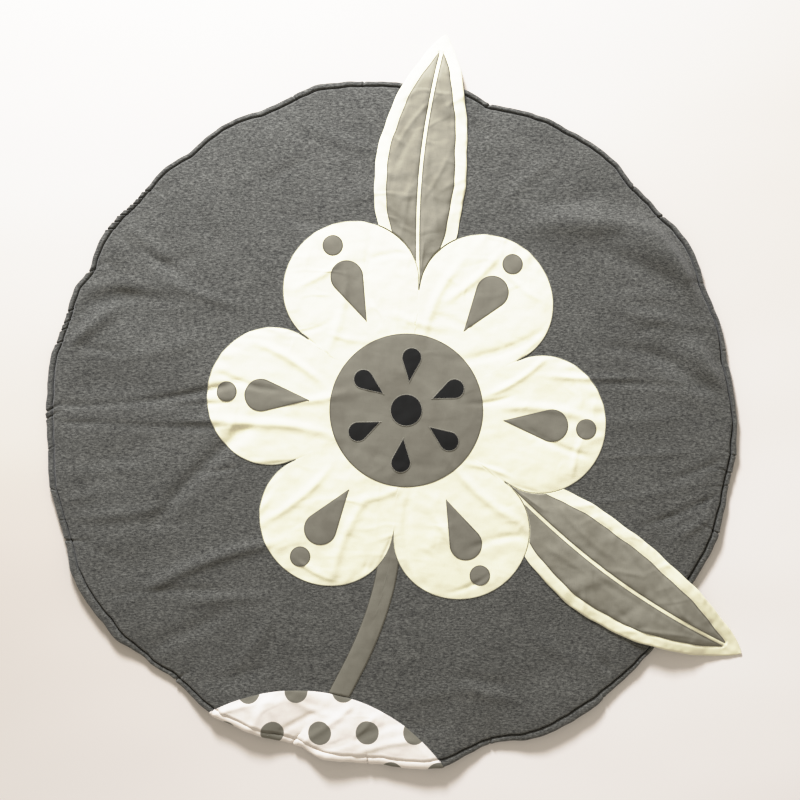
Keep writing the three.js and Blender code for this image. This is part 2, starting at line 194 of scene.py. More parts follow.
def creaseHeight(x, y, creases):
    total = np.zeros(np.broadcast(x, y).shape)
    for crease in creases:
        heading = math.radians(crease["heading"])
        awayX = x - crease["x"]
        awayY = y - crease["y"]
        along = (awayX * math.cos(heading) + awayY * math.sin(heading)) / (crease["length"] / 2)
        across = awayY * math.cos(heading) - awayX * math.sin(heading)
        across = across - crease["bow"] * along ** 2
        total += crease["height"] * np.exp(-(across / crease["width"]) ** 2 - along ** 4)
    return total


# Folds in the jersey of the mat itself, a ridge where the height is above zero, else a valley
matCreases = namedRows(creaseColumns, (
    (-346, 182, -3, 110, 10, 2.4, -3), (-376, 163, 9, 84, 11, -4, -2),
    (-316, 165, -5, 90, 10, -2.4, 2), (-392, 128, 37, 86, 9, 7, 2),
    (-255, 171, -20, 110, 7, 2.3, 4), (-267, 38, 11, 125, 5, -4.2, 3),
    (-262, 25, 3, 110, 3.5, -1.7, 0), (-376, 25, 3, 135, 4, -2.1, 2),
    (-408, 1, -2, 50, 4, -1.9, 0), (-298, -4, -2, 190, 5, -1.7, 3), (-231, 5, -1, 95, 6, 2.3, 0),
    (-248, -58, 45, 185, 10, -5.6, -7), (-228, -62, 6, 50, 4, -2, 2),
    (-346, -117, 8, 140, 7, 1.9, 5), (-330, -132, 3, 150, 8, -1.2, 3),
    (-238, -178, 20, 190, 8, 4.8, -9), (-290, -218, 2, 155, 5, -2.4, -3),
    (-218, -228, 4, 105, 7, 2.2, -3), (-258, -268, 24, 95, 10, -2.8, 3),
    (-372, -60, 5, 95, 9, 1.8, -4), (-180, -290, 52, 90, 10, 2, 4),
    (-300, 96, 12, 115, 10, 2, 6), (-318, 238, -40, 95, 8, 2, 5), (-250, 272, -62, 85, 8, -2, 4),
    (-374, 96, -8, 60, 6, -1.8, 2), (-300, 210, -30, 70, 6, -1.6, 3),
    (-307, 304, 33, 46, 3.5, -1.9, 2), (-338, 278, 33, 50, 4, -1.7, 2),
    (-342, 232, -62, 36, 4, -1.5, 0), (-281, 212, 10, 60, 7, -1.8, 3),
    (-322, 330, 30, 44, 4, 1.6, 2), (-196, -330, 14, 80, 8, -2, 4),
    (-316, -300, 34, 60, 8, -1.8, -3), (-384, -166, -24, 60, 6, -1.6, 3),
    (-404, -96, 12, 44, 5, 1.6, 2), (286, 262, -3, 215, 15, 6.4, -8),
    (371, 211, -46, 135, 17, 9, -7), (318, 236, -24, 230, 32, 6.4, -12),
    (330, 204, -26, 120, 11, -3.6, -4), (357, 135, -10, 135, 9, 3.4, 6),
    (318, 166, 4, 90, 9, 1.8, -4), (336, 92, -14, 110, 8, -2.8, -4),
    (417, 72, -46, 104, 13, 9.5, 4), (384, 64, -34, 90, 10, -5.4, 3),
    (262, 60, -1, 120, 4, 2, 2), (345, 51, -3, 130, 4, -1.8, -3), (338, -40, 3, 95, 5, 1.6, 0),
    (405, -60, 22, 80, 5, -2.4, 2), (320, -96, 10, 180, 4, 1.5, 3),
    (392, -111, 24, 125, 3, -4.2, 4), (404, -130, 33, 76, 6, 3.6, 2),
    (352, 128, 14, 95, 8, -1.4, -5), (286, -323, -50, 40, 5, -3, 0),
    (316, -240, 40, 60, 7, -1.9, 3), (396, -186, 52, 54, 6, 1.9, 2),
    (131, -354, -15, 70, 8, 2.8, 3), (120, -338, -8, 64, 7, -2.2, 3),
    (330, 4, 6, 125, 10, 1.6, 6), (60, -352, 12, 95, 8, 1.9, -5), (180, 322, 40, 85, 8, 2, -4),
    (-70, 372, -20, 115, 8, 2, 6), (-140, 330, 24, 75, 7, -1.9, 3),
    (40, -396, -4, 80, 6, -1.6, 3), (220, -300, -30, 90, 9, 1.8, 4),
    (100, 390, -14, 90, 7, -1.7, -4), (232, 290, 12, 90, 10, -2.2, 5),
    (-120, -350, -20, 90, 9, 1.8, 4), (-20, 310, 34, 90, 8, 1.6, 5),
    (-104, 262, -12, 80, 7, -1.5, 4), (260, -206, 16, 80, 8, 1.5, -4),
))


# How far the mat's top lies above or below its even height
def matUnevenness(x, y):
    waves = 0.6 * ripple(x, y, 120) + 0.17 * ripple(x + 31, y - 17, 44)
    return waves + creaseHeight(x, y, matCreases)


def unevenShare(inset, roll):
    return easeStep(inset - roll, 0, 26)


# The rim's own small waves, which no crest or notch of the table holds
def rimRuffle(degrees):
    turn = np.radians(degrees)
    total = 0.35 * np.sin(53 * turn + 1) + 0.28 * np.sin(81 * turn + 2.2)
    return total + 0.2 * np.sin(127 * turn)


# A point of the mat's skin. Section runs from -1, where the roll meets the floor, by 0 at the
# outermost line to 1 at the channel, and is 1 mm more for each millimetre further in.
def matSkin(degrees, section):
    degrees, section = np.broadcast_arrays(np.asarray(degrees, float), np.asarray(section, float))
    roll = rimAt(degrees, "roll")
    over = np.clip(section, 0, 1)
    share = (1 - np.cos(np.pi * over)) / 2
    beyond = np.clip(section - 1, 0, None)
    inset = roll * share + beyond
    sides = mat["side"] + (mat["channel"] - mat["side"]) * share
    puff = mat["rollRise"] * (0.86 + 0.02 * roll) * np.sin(np.pi * over) ** 0.62
    puff = puff * (1 + 0.06 * np.sin(np.radians(degrees) * 71 + 0.6))
    shoulder = mat["thickness"]
    for drop, width in (mat["nearShoulder"], mat["farShoulder"]):
        shoulder = shoulder - drop * np.exp(-beyond / width)
    height = np.where(section > 1, shoulder, sides + puff)
    tighter, at = mat["tightest"]
    harder = tighter * np.cos(np.radians(degrees - at))
    pull = mat["grooveDepth"] * (1 + harder)
    grooveWidth = mat["grooveWidth"] * (1 + np.clip(harder, 0, None))
    groove = pull * np.exp(-((inset - roll) / grooveWidth) ** 2)
    height = height - groove * easeStep(section, 0.6, 1)
    swell, swellAt, swellWidth = mat["lip"]
    height = height + swell * np.exp(-((beyond - swellAt) / swellWidth) ** 2) * (section > 1)
    under = np.clip(-section, 0, 1)
    turned = mat["rollUnder"] * roll * (1 - np.cos(np.pi / 2 * under))
    height = np.where(section < 0, mat["side"] * (1 - np.sin(np.pi / 2 * under)), height)
    inset = np.where(section < 0, turned, inset)
    pleat = pleatAt(degrees, inset, roll)
    upper = easeStep(section, -0.6, 0.4)
    reach = mat["radius"] + rimAt(degrees, "reach") + rimRuffle(degrees)
    reach = reach - pleat * 0.45 * (1 - easeStep(inset, 0, roll))
    radius = reach - inset
    x = radius * np.cos(np.radians(degrees))
    y = radius * np.sin(np.radians(degrees))
    height = height + liftAt(degrees, inset)
    height = height - dipAt(degrees, inset) * easeStep(section, 0, 1) - pleat * upper
    height = height + matUnevenness(x, y) * unevenShare(inset, roll) * easeStep(section, 0, 1)
    lowest = liftAt(degrees, inset) + mat["leastThickness"] * easeStep(section, -1, 0.2)
    return np.stack([x, y, np.maximum(height, lowest)], -1)


# The same point, raised off the cloth by a gap square to it
def offMatSkin(degrees, section, gap):
    step = 0.04
    alongRim = matSkin(degrees + step, section) - matSkin(degrees - step, section)
    inwards = matSkin(degrees, section + step) - matSkin(degrees, section - step)
    square = np.cross(alongRim, inwards)
    square = square / np.maximum(np.linalg.norm(square, axis=-1, keepdims=True), 1e-9)
    return matSkin(degrees, section) + square * np.asarray(gap)[..., None]


# The section of the skin at a distance in from the outermost line
def sectionAt(inset, roll):
    onRoll = np.arccos(np.clip(1 - 2 * inset / roll, -1, 1)) / np.pi
    return np.where(inset > roll, 1 + inset - roll, onRoll)


# The height of the mat's top inside its channel, where the panels lie
def matTop(x, y):
    degrees = np.degrees(np.arctan2(y, x)) % 360
    reach = mat["radius"] + rimAt(degrees, "reach") + rimRuffle(degrees)
    beyond = np.clip(reach - np.hypot(x, y) - rimAt(degrees, "roll"), 0, None)
    return matSkin(degrees, 1 + beyond)[..., 2]


# Meshes

def addPiece(name, points, faces, material):
    mesh = bpy.data.meshes.new(name)
    mesh.from_pydata((np.asarray(points) * millimetre).tolist(), [], faces)
    shell = bmesh.new()
    shell.from_mesh(mesh)
    bmesh.ops.recalc_face_normals(shell, faces=shell.faces)
    shell.to_mesh(mesh)
    shell.free()
    mesh.polygons.foreach_set("use_smooth", [True] * len(mesh.polygons))
    mesh.materials.append(material)
    piece = bpy.data.objects.new(name, mesh)
    bpy.context.scene.collection.objects.link(piece)
    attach(piece, "root")
    return piece


# A closed skin of rings, with a pole at each end. A ring may have half as many points as the
# one before or after it.
def ringSkin(name, rings, poles, material):
    points = [np.asarray([poles[0]])]
    faces = []
    first = 1
    starts = []
    for ring in rings:
        starts.append(first)
        first += len(ring)
        points.append(ring)
    points.append(np.asarray([poles[1]]))
    for place in range(len(rings) - 1):
        low, high = starts[place], starts[place + 1]
        countLow, countHigh = len(rings[place]), len(rings[place + 1])
        if countLow == countHigh:
            for step in range(countLow):
                after = (step + 1) % countLow
                faces.append((low + step, low + after, high + after, high + step))
            continue
        fine, coarse = (low, high) if countLow > countHigh else (high, low)
        count = min(countLow, countHigh)
        for step in range(count):
            after = (step + 1) % count
            middle = fine + 2 * step + 1
            corner = fine + (2 * step + 2) % (2 * count)
            faces.append((fine + 2 * step, middle, coarse + step))
            faces.append((middle, coarse + after, coarse + step))
            faces.append((middle, corner, coarse + after))
    caps = ((0, starts[0], len(rings[0])), (first, starts[-1], len(rings[-1])))
    for pole, start, count in caps:
        for step in range(count):
            faces.append((pole, start + step, start + (step + 1) % count))
    return addPiece(name, np.concatenate(points), faces, material)


# A closed sheet between a lower and an upper grid of points
def gridSheet(name, lower, upper, material):
    rows, columns = upper.shape[:2]
    count = rows * columns
    faces = []
    for row in range(rows - 1):
        for column in range(columns - 1):
            here = row * columns + column
            faces.append((here, here + 1, here + columns + 1, here + columns))
            above = here + count
            faces.append((above, above + columns, above + columns + 1, above + 1))
    edge = list(range(columns - 1))
    edge += [row * columns + columns - 1 for row in range(rows - 1)]
    edge += [(rows - 1) * columns + column for column in range(columns - 1, 0, -1)]
    edge += [row * columns for row in range(rows - 1, 0, -1)]
    for place, here in enumerate(edge):
        after = edge[(place + 1) % len(edge)]
        faces.append((here, after, after + count, here + count))
    points = np.concatenate([lower.reshape(-1, 3), upper.reshape(-1, 3)])
    return addPiece(name, points, faces, material)


# Materials

def linear(red, green, blue):
    color = []
    for share in (red / 255, green / 255, blue / 255):
        color.append(share / 12.92 if share <= 0.04045 else ((share + 0.055) / 1.055) ** 2.4)
    return (*color, 1)


def addNode(tree, kind, settings=None, **values):
    node = tree.nodes.new(kind)
    for name, value in (settings or {}).items():
        setattr(node, name, value)
    for name, value in values.items():
        node.inputs[name.replace("_", " ")].default_value = value
    return node


def addMath(tree, operation, first, second=None, third=None):
    node = tree.nodes.new("ShaderNodeMath")
    node.operation = operation
    for place, value in enumerate((first, second, third)):
        if value is None:
            continue
        if isinstance(value, bpy.types.NodeSocket):
            tree.links.new(value, node.inputs[place])
        else:
            node.inputs[place].default_value = value
    return node.outputs[0]


def addMix(tree, share, first, second, blend="MIX"):
    node = tree.nodes.new("ShaderNodeMix")
    node.data_type = "RGBA"
    node.blend_type = blend
    for place, value in ((0, share), (6, first), (7, second)):
        if isinstance(value, bpy.types.NodeSocket):
            tree.links.new(value, node.inputs[place])
        else:
            node.inputs[place].default_value = value
    return node.outputs[2]


def addRange(tree, value, fromLow, fromHigh, toLow=0.0, toHigh=1.0):
    node = tree.nodes.new("ShaderNodeMapRange")
    node.interpolation_type = "SMOOTHSTEP"
    limits = {"From Min": fromLow, "From Max": fromHigh, "To Min": toLow, "To Max": toHigh}
    for name, number in limits.items():
        node.inputs[name].default_value = number
    tree.links.new(value, node.inputs["Value"])
    return node.outputs["Result"]


def newGroup(name, inputs, outputs):
    tree = bpy.data.node_groups.new(name, "ShaderNodeTree")
    for socket, kind, value in inputs:
        made = tree.interface.new_socket(socket, in_out="INPUT", socket_type=kind)
        made.default_value = value
    for socket, kind in outputs:
        tree.interface.new_socket(socket, in_out="OUTPUT", socket_type=kind)
    return tree, tree.nodes.new("NodeGroupInput"), tree.nodes.new("NodeGroupOutput")


# Noise on object coordinates, stretched to a grain's length along X and its height along Y
def addGrain(tree, alongX, alongY, detail=2.0, roughness=0.5, turn=0.0):
    where = addNode(tree, "ShaderNodeTexCoord")
    scale = addNode(tree, "ShaderNodeMapping")
    scale.inputs["Rotation"].default_value = (0, 0, turn)
    scale.inputs["Scale"].default_value = (1000 / alongX, 1000 / alongY, 1000 / alongY)
    tree.links.new(where.outputs["Object"], scale.inputs["Vector"])
    grain = addNode(tree, "ShaderNodeTexNoise", Scale=1.0, Detail=detail, Roughness=roughness)
    tree.links.new(scale.outputs["Vector"], grain.inputs["Vector"])
    return grain.outputs["Fac"]


# Melange jersey: pale and dark fibres spun together, streaked along the courses, on fine ribs
def makeHeather():
    tree, given, result = newGroup(
        "heatherJersey",
        [
            ("Pale", "NodeSocketColor", linear(117, 117, 112)),
            ("Middle", "NodeSocketColor", linear(84, 84, 80)),
            ("Dark", "NodeSocketColor", linear(50, 50, 48)),
            ("Mottle", "NodeSocketFloat", 1.0),
        ],
        [("Color", "NodeSocketColor"), ("Height", "NodeSocketFloat")],
    )
    streak = addGrain(tree, 4.8, 1.8, 3.0, 0.66)
    fleck = addGrain(tree, 2.1, 1.2, 2.0, 0.6)
    speck = addGrain(tree, 1.5, 1.1, 0.0, 0.5)
    cloud = addGrain(tree, 60, 26, 2.0, 0.5)
    paleShare = addRange(tree, streak, 0.5, 0.68)
    darkShare = addRange(tree, streak, 0.5, 0.34)
    color = addMix(tree, paleShare, given.outputs["Middle"], given.outputs["Pale"])
    color = addMix(tree, darkShare, color, given.outputs["Dark"])
    fleckPale = addMath(tree, "MULTIPLY", addRange(tree, fleck, 0.6, 0.74), 0.75)
    fleckDark = addMath(tree, "MULTIPLY", addRange(tree, fleck, 0.42, 0.3), 0.7)
    color = addMix(tree, fleckPale, color, given.outputs["Pale"])
    color = addMix(tree, fleckDark, color, given.outputs["Dark"])
    speckPale = addRange(tree, speck, 0.66, 0.8, 0.0, 0.8)
    speckDark = addRange(tree, speck, 0.34, 0.22, 0.0, 0.8)
    color = addMix(tree, speckPale, color, given.outputs["Pale"])
    color = addMix(tree, speckDark, color, given.outputs["Dark"])
    shade = addRange(tree, cloud, 0.3, 0.7, 0.93, 1.07)
    shade = addMath(tree, "POWER", shade, given.outputs["Mottle"])
    color = addMix(tree, 1.0, color, shade, "MULTIPLY")
    tree.links.new(color, result.inputs["Color"])
    where = addNode(tree, "ShaderNodeTexCoord")
    upright = {"bands_direction": "X"}
    wale = addNode(tree, "ShaderNodeTexWave", upright, Scale=320.0, Distortion=1.5, Detail=1.0)
    tree.links.new(where.outputs["Object"], wale.inputs["Vector"])
    height = addMath(tree, "MULTIPLY", wale.outputs["Fac"], 0.35)
    height = addMath(tree, "ADD", height, addMath(tree, "MULTIPLY", fleck, 0.8))
    height = addMath(tree, "ADD", height, addMath(tree, "MULTIPLY", streak, 0.5))
    tree.links.new(height, result.inputs["Height"])
    return tree


# Plain woven cotton: two crossing sets of threads, slightly slubbed, with a soft wash of shade
def makeWeave():
    tree, given, result = newGroup(
        "plainCotton",
        [
            ("Base", "NodeSocketColor", linear(242, 239, 211)),
            ("Shadow", "NodeSocketColor", linear(231, 227, 202)),
            ("Wash", "NodeSocketFloat", 0.5),
        ],
        [("Color", "NodeSocketColor"), ("Height", "NodeSocketFloat")],
    )
    cloud = addGrain(tree, 34, 46, 3.0, 0.55)
    slubX = addGrain(tree, 9, 0.7, 2.0, 0.5)
    slubY = addGrain(tree, 0.7, 9, 2.0, 0.5)
    wash = addMath(tree, "MULTIPLY", addRange(tree, cloud, 0.42, 0.7), given.outputs["Wash"])
    color = addMix(tree, wash, given.outputs["Base"], given.outputs["Shadow"])
    slubs = [addRange(tree, grain, 0.55, 0.75) for grain in (slubX, slubY)]
    slub = addMath(tree, "MULTIPLY", addMath(tree, "MAXIMUM", *slubs), 0.35)
    color = addMix(tree, slub, color, given.outputs["Shadow"])
    tree.links.new(color, result.inputs["Color"])
    where = addNode(tree, "ShaderNodeTexCoord")
    threads = []
    for direction in ("X", "Y"):
        bands = {"bands_direction": direction}
        wave = addNode(tree, "ShaderNodeTexWave", bands, Scale=420.0, Distortion=0.6)
        tree.links.new(where.outputs["Object"], wave.inputs["Vector"])
        threads.append(wave.outputs["Fac"])
    height = addMath(tree, "MULTIPLY", addMath(tree, "ADD", threads[0], threads[1]), 0.3)
    height = addMath(tree, "ADD", height, addMath(tree, "MULTIPLY", slub, 1.2))
    tree.links.new(height, result.inputs["Height"])
    return tree


# Slight crumpling of a washed and folded cloth, in millimetres: soft facets with fine ridges
def makeCrumple():
    tree, given, result = newGroup(
        "crumpledCloth", [("Amount", "NodeSocketFloat", 1.0)], [("Height", "NodeSocketFloat")],
    )
    facets = addMath(tree, "MULTIPLY", addGrain(tree, 34, 24, 1.5, 0.5, 0.5), 2.2)
    patches = addRange(tree, addGrain(tree, 70, 90, 1.0, 0.5, 1.1), 0.44, 0.6, 0.15, 1.0)
    height = facets
    ridges = ((70, 30, -0.4, 0.1, 0.4), (28, 52, 0.9, 0.12, 0.34))
    for alongX, alongY, turn, width, amount in ridges:
        grain = addGrain(tree, alongX, alongY, 0.6, 0.5, turn)
        away = addMath(tree, "ABSOLUTE", addMath(tree, "SUBTRACT", grain, 0.5))
        ridge = addMath(tree, "MULTIPLY", addRange(tree, away, 0.0, width, amount, 0.0), patches)
        height = addMath(tree, "ADD", height, ridge)
    height = addMath(tree, "MULTIPLY", height, given.outputs["Amount"])
    tree.links.new(height, result.inputs["Height"])
    return tree


heatherGroup = makeHeather()
weaveGroup = makeWeave()
crumpleGroup = makeCrumple()


# A cloth from one of the groups, with its roughness uneven where the group's relief is
def makeCloth(name, group, values, roughness, bump, sheen=0.2, crumple=0.0):
    material = bpy.data.materials.new(name)
    material.use_nodes = True
    tree = material.node_tree
    tree.nodes.clear()
    output = tree.nodes.new("ShaderNodeOutputMaterial")
    shader = tree.nodes.new("ShaderNodeBsdfPrincipled")
    shader.inputs["Sheen Weight"].default_value = sheen
    shader.inputs["Sheen Roughness"].default_value = 0.5
    shader.inputs["Specular IOR Level"].default_value = 0.25
    tree.links.new(shader.outputs["BSDF"], output.inputs["Surface"])
    cloth = tree.nodes.new("ShaderNodeGroup")
    cloth.node_tree = group
    for socket, value in values.items():
        cloth.inputs[socket].default_value = value
    tree.links.new(cloth.outputs["Color"], shader.inputs["Base Color"])
    rough = addRange(tree, cloth.outputs["Height"], 0.0, 1.4, roughness + 0.06, roughness - 0.08)
    tree.links.new(rough, shader.inputs["Roughness"])
    relief = addNode(tree, "ShaderNodeBump", Strength=bump, Distance=0.0004)
    tree.links.new(cloth.outputs["Height"], relief.inputs["Height"])
    tree.links.new(relief.outputs["Normal"], shader.inputs["Normal"])
    if crumple:
        crumpled = tree.nodes.new("ShaderNodeGroup")
        crumpled.node_tree = crumpleGroup
        crumpled.inputs["Amount"].default_value = crumple
        facets = addNode(tree, "ShaderNodeBump", Strength=1.0, Distance=millimetre)
        tree.links.new(crumpled.outputs["Height"], facets.inputs["Height"])
        tree.links.new(facets.outputs["Normal"], relief.inputs["Normal"])
    return material


# Lays printed spots in staggered rows over a cloth's colour
def printSpots(material, color, spacing, radius):
    tree = material.node_tree
    where = addNode(tree, "ShaderNodeTexCoord")
    place = addNode(tree, "ShaderNodeSeparateXYZ")
    tree.links.new(where.outputs["Object"], place.inputs["Vector"])
    rowHeight = spacing * math.sqrt(3) / 2 * millimetre
    row = addMath(tree, "DIVIDE", place.outputs["Y"], rowHeight)
    rowNumber = addMath(tree, "FLOOR", row)
    odd = addMath(tree, "MODULO", addMath(tree, "ABSOLUTE", rowNumber), 2.0)
    column = addMath(tree, "DIVIDE", place.outputs["X"], spacing * millimetre)
    column = addMath(tree, "ADD", column, addMath(tree, "MULTIPLY", odd, 0.5))
    awayX = addMath(tree, "SUBTRACT", addMath(tree, "FRACT", column), 0.5)
    awayX = addMath(tree, "MULTIPLY", awayX, spacing)
    awayY = addMath(tree, "SUBTRACT", addMath(tree, "FRACT", row), 0.5)
    awayY = addMath(tree, "MULTIPLY", awayY, rowHeight / millimetre)
    squareX = addMath(tree, "MULTIPLY", awayX, awayX)
    squareY = addMath(tree, "MULTIPLY", awayY, awayY)
    away = addMath(tree, "SQRT", addMath(tree, "ADD", squareX, squareY))
    ragged = addMath(tree, "MULTIPLY", addGrain(tree, 1.6, 1.6, 2.0, 0.6), 0.8)
    inked = addRange(tree, addMath(tree, "ADD", away, ragged), radius + 0.7, radius + 0.1)
    shader = tree.nodes["Principled BSDF"]
    plain = shader.inputs["Base Color"].links[0].from_socket
    wear = addRange(tree, addGrain(tree, 0.9, 0.9, 2.0, 0.6), 0.2, 0.4, 0.86, 1.0)
    worn = addMath(tree, "MULTIPLY", inked, wear)
    tree.links.new(addMix(tree, worn, plain, color), shader.inputs["Base Color"])


jersey = makeCloth("charcoalJersey", heatherGroup, {}, roughness=0.92, bump=0.55, sheen=0.25)
cream = makeCloth(
    "creamCotton", weaveGroup, {},
    roughness=0.86, bump=0.3, sheen=0.15, crumple=1.1,
)
white = makeCloth(
    "printedCotton", weaveGroup,
    {"Base": linear(246, 240, 234), "Shadow": linear(231, 223, 215)},
    roughness=0.85, bump=0.3, sheen=0.15, crumple=1.0,
)
taupe = makeCloth(
    "taupeCotton", weaveGroup,
    {"Base": linear(125, 122, 110), "Shadow": linear(112, 108, 96), "Wash": 0.6},
    roughness=0.84, bump=0.35, sheen=0.15, crumple=0.7,
)
paleTaupe = makeCloth(
    "paleTaupeCotton", weaveGroup,
    {"Base": linear(142, 139, 126), "Shadow": linear(124, 120, 106), "Wash": 0.7},
    roughness=0.84, bump=0.35, sheen=0.15, crumple=1.5,
)
black = makeCloth(
    "blackCotton", weaveGroup,
    {"Base": linear(22, 22, 21), "Shadow": linear(14, 14, 13), "Wash": 0.6},
    roughness=0.8, bump=0.35, sheen=0.1, crumple=0.5,
)
printSpots(white, linear(124, 121, 109), spacing=62, radius=15)


def makeThread(name, base, shadow, roughness=0.7, sheen=0.1):
    tones = {"Base": linear(*base), "Shadow": linear(*shadow)}
    return makeCloth(name, weaveGroup, tones, roughness=roughness, bump=0.4, sheen=sheen)


charcoalThread = makeThread("charcoalThread", (74, 73, 68), (52, 51, 48))
# The rim's thread is near-black: partly real thread, partly painted shade for the sewn channel's
# shadow
rimThreadAndPaintedShade = makeThread("rimThreadAndPaintedShade", (22, 22, 21), (15, 15, 14), roughness=0.85, sheen=0.0)
taupeThread = makeThread("taupeThread", (106, 100, 84), (84, 78, 64))
paleThread = makeThread("paleThread", (176, 172, 158), (150, 145, 130))
print("cloths made")


# The mat

# Angles round the rim, closer together where a pleat crosses it
def rimAngles(steps):
    fine = np.linspace(0, 360, 36001)
    density = np.ones(len(fine))
    for pleat in pleats:
        density += 2.6 * np.exp(-(degreesFrom(fine, pleat["at"]) / 0.75) ** 2)
    total = np.concatenate([[0], np.cumsum((density[1:] + density[:-1]) / 2)])
    return np.interp(np.arange(steps) * total[-1] / steps, total, fine)


# The mat's rings, from the middle of its underside out, over the roll and in to the middle of
# its top
def matRings():
    allTurns = rimAngles(mat["rimSteps"])
    turnsOf = lambda steps: allTurns[::mat["rimSteps"] // steps]
    rings = []
    for radius in (80, 160, 230):
        angles = np.radians(turnsOf(mat["middleSteps"]))
        rings.append(np.stack([radius * np.cos(angles), radius * np.sin(angles), 0 * angles], -1))
    for inset in (150, 80, 60, 40, 24, 12):
        rings.append(underRing(turnsOf(mat["flatSteps"]), inset))
    for section in (-1, -0.7, -0.4, -0.2):
        rings.append(matSkin(turnsOf(mat["flatSteps"]), section))
    overRoll = [0, 0.06, 0.13, 0.21, 0.3, 0.4, 0.5, 0.6, 0.7, 0.79, 0.87, 0.94]
    past = [0, 0.5, 1, 1.6, 2.4, 3.4, 4.8, 6.6, 9, 12, 15.5, 19.5, 24]
    for section in overRoll + [1 + beyond for beyond in past]:
        rings.append(matSkin(turnsOf(mat["rimSteps"]), section))
    inset = past[-1] + mat["ringSpacing"]
    while inset < mat["innermostInset"]:
        rings.append(matSkin(turnsOf(mat["flatSteps"]), 1 + inset))
        inset += mat["ringSpacing"]
    angles = np.radians(turnsOf(mat["middleSteps"]))
    for radius in range(mat["middleRadius"], 0, -mat["middleSpacing"]):
        x = radius * np.cos(angles)
        y = radius * np.sin(angles)
        rings.append(np.stack([x, y, matTop(x, y)], -1))
    return rings


def underRing(degrees, inset):
    angles = np.radians(degrees)
    radius = mat["radius"] + rimAt(degrees, "reach") - inset
    x, y = radius * np.cos(angles), radius * np.sin(angles)
    return np.stack([x, y, liftAt(degrees, inset)], -1)


def makeMat():
    top = float(matTop(np.zeros(1), np.zeros(1))[0])
    piece = ringSkin("roundMat", matRings(), ((0, 0, 0), (0, 0, top)), jersey)
    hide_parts("mat")
    return piece


makeMat()
print("mat made")


# Stitches: one is modelled and copied along each seam, with its own points

def stitchShape():
    bpy.ops.mesh.primitive_uv_sphere_add(
        segments=5, ring_count=3, radius=0.5, rotation=(0, math.pi / 2, 0),
    )
    bpy.ops.object.transform_apply(location=False, rotation=True, scale=False)
    stitch = bpy.context.object
    points = np.array([vertex.co[:] for vertex in stitch.data.vertices])
    points[:, 2] += 0.5 * (0.25 - points[:, 0] ** 2)      # it arches from hole to hole
    faces = [tuple(face.vertices) for face in stitch.data.polygons]
    bpy.data.objects.remove(stitch)
    return points, faces


stitchPoints, stitchFaces = stitchShape()
upright = np.array([0.0, 0.0, 1.0])


def unitVectors(vectors):
    return vectors / np.linalg.norm(vectors, axis=1, keepdims=True)


# How far along a line each of its points lies
def distanceAlong(line):
    lengths = np.linalg.norm(np.diff(line, axis=0), axis=1)
    return np.concatenate([[0], np.cumsum(lengths)])


# Joins stitches from lists of their two ends, on a cloth whose normal is given there
def addStitches(name, starts, ends, normals, thread, material):
    along = ends - starts
    length = np.linalg.norm(along, axis=1, keepdims=True)
    along = along / length
    aside = unitVectors(np.cross(normals, along))
    upwards = np.cross(along, aside)
    middle = (starts + ends) / 2
    points = (
        middle[:, None]
        + along[:, None] * (stitchPoints[None, :, 0:1] * length[:, None])
        + aside[:, None] * (stitchPoints[None, :, 1:2] * thread)
        + upwards[:, None] * (stitchPoints[None, :, 2:3] * thread)
    )
    size = len(stitchPoints)
    faces = [
        tuple(number + index * size for number in face)
        for index in range(len(starts)) for face in stitchFaces
    ]
    piece = addPiece(name, points.reshape(-1, 3), faces, material)
    return piece


# Points a fixed pitch apart along a line of points, closed or open
def walkAlong(line, pitch, closed):
    path = np.concatenate([line, line[:1]]) if closed else line
    travelled = distanceAlong(path)
    count = max(int(round(travelled[-1] / pitch)), 2)
    marks = np.arange(count if closed else count + 1) * travelled[-1] / count

    def pointsAt(distances):
        return np.stack([np.interp(distances, travelled, values) for values in path.T], -1)

    return pointsAt(marks), unitVectors(pointsAt(marks + 0.4) - pointsAt(marks - 0.4))


# The topstitch in the channel, with its thread just above the groove's floor
# Its thread is near-black and wide, partly painted shade that darkens the channel's line.
def makeRimStitches():
    seam = {"pitch": 4.6, "length": 4, "thread": 1.05, "above": 0.62}
    angles = np.arange(0, 360, 0.25)
    line = matSkin(angles, np.ones(len(angles)))
    spots, heading = walkAlong(line, seam["pitch"], True)
    starts = spots - heading * seam["length"] / 2
    ends = spots + heading * seam["length"] / 2
    for spot in (starts, ends):
        spot[:, 2] += seam["above"]
    addStitches("rimTopstitchAndPaintedShade", starts, ends, upright, seam["thread"], rimThreadAndPaintedShade)


makeRimStitches()
print("rim stitched")


# The blossom and what is sewn on it

blossom = {"x": 20, "y": 18, "petals": 6, "turn": 54, "tip": 262, "notch": 158, "roundness": 0.5}
panel = {"thickness": 1.2, "edge": 0.55, "press": 2.4, "clear": 0.1, "puff": 1, "least": 0.35}
trim = {"thickness": 1.0, "edge": 0.5, "press": 1.8, "clear": 0.06, "puff": 0.25}
centreRadius = 100
petalDrop = {"from": 128, "length": 84, "width": 42}
petalDot = {"from": 236, "radius": 13}
seed = {"from": 36, "length": 46, "width": 26}
buttonRadius = 21

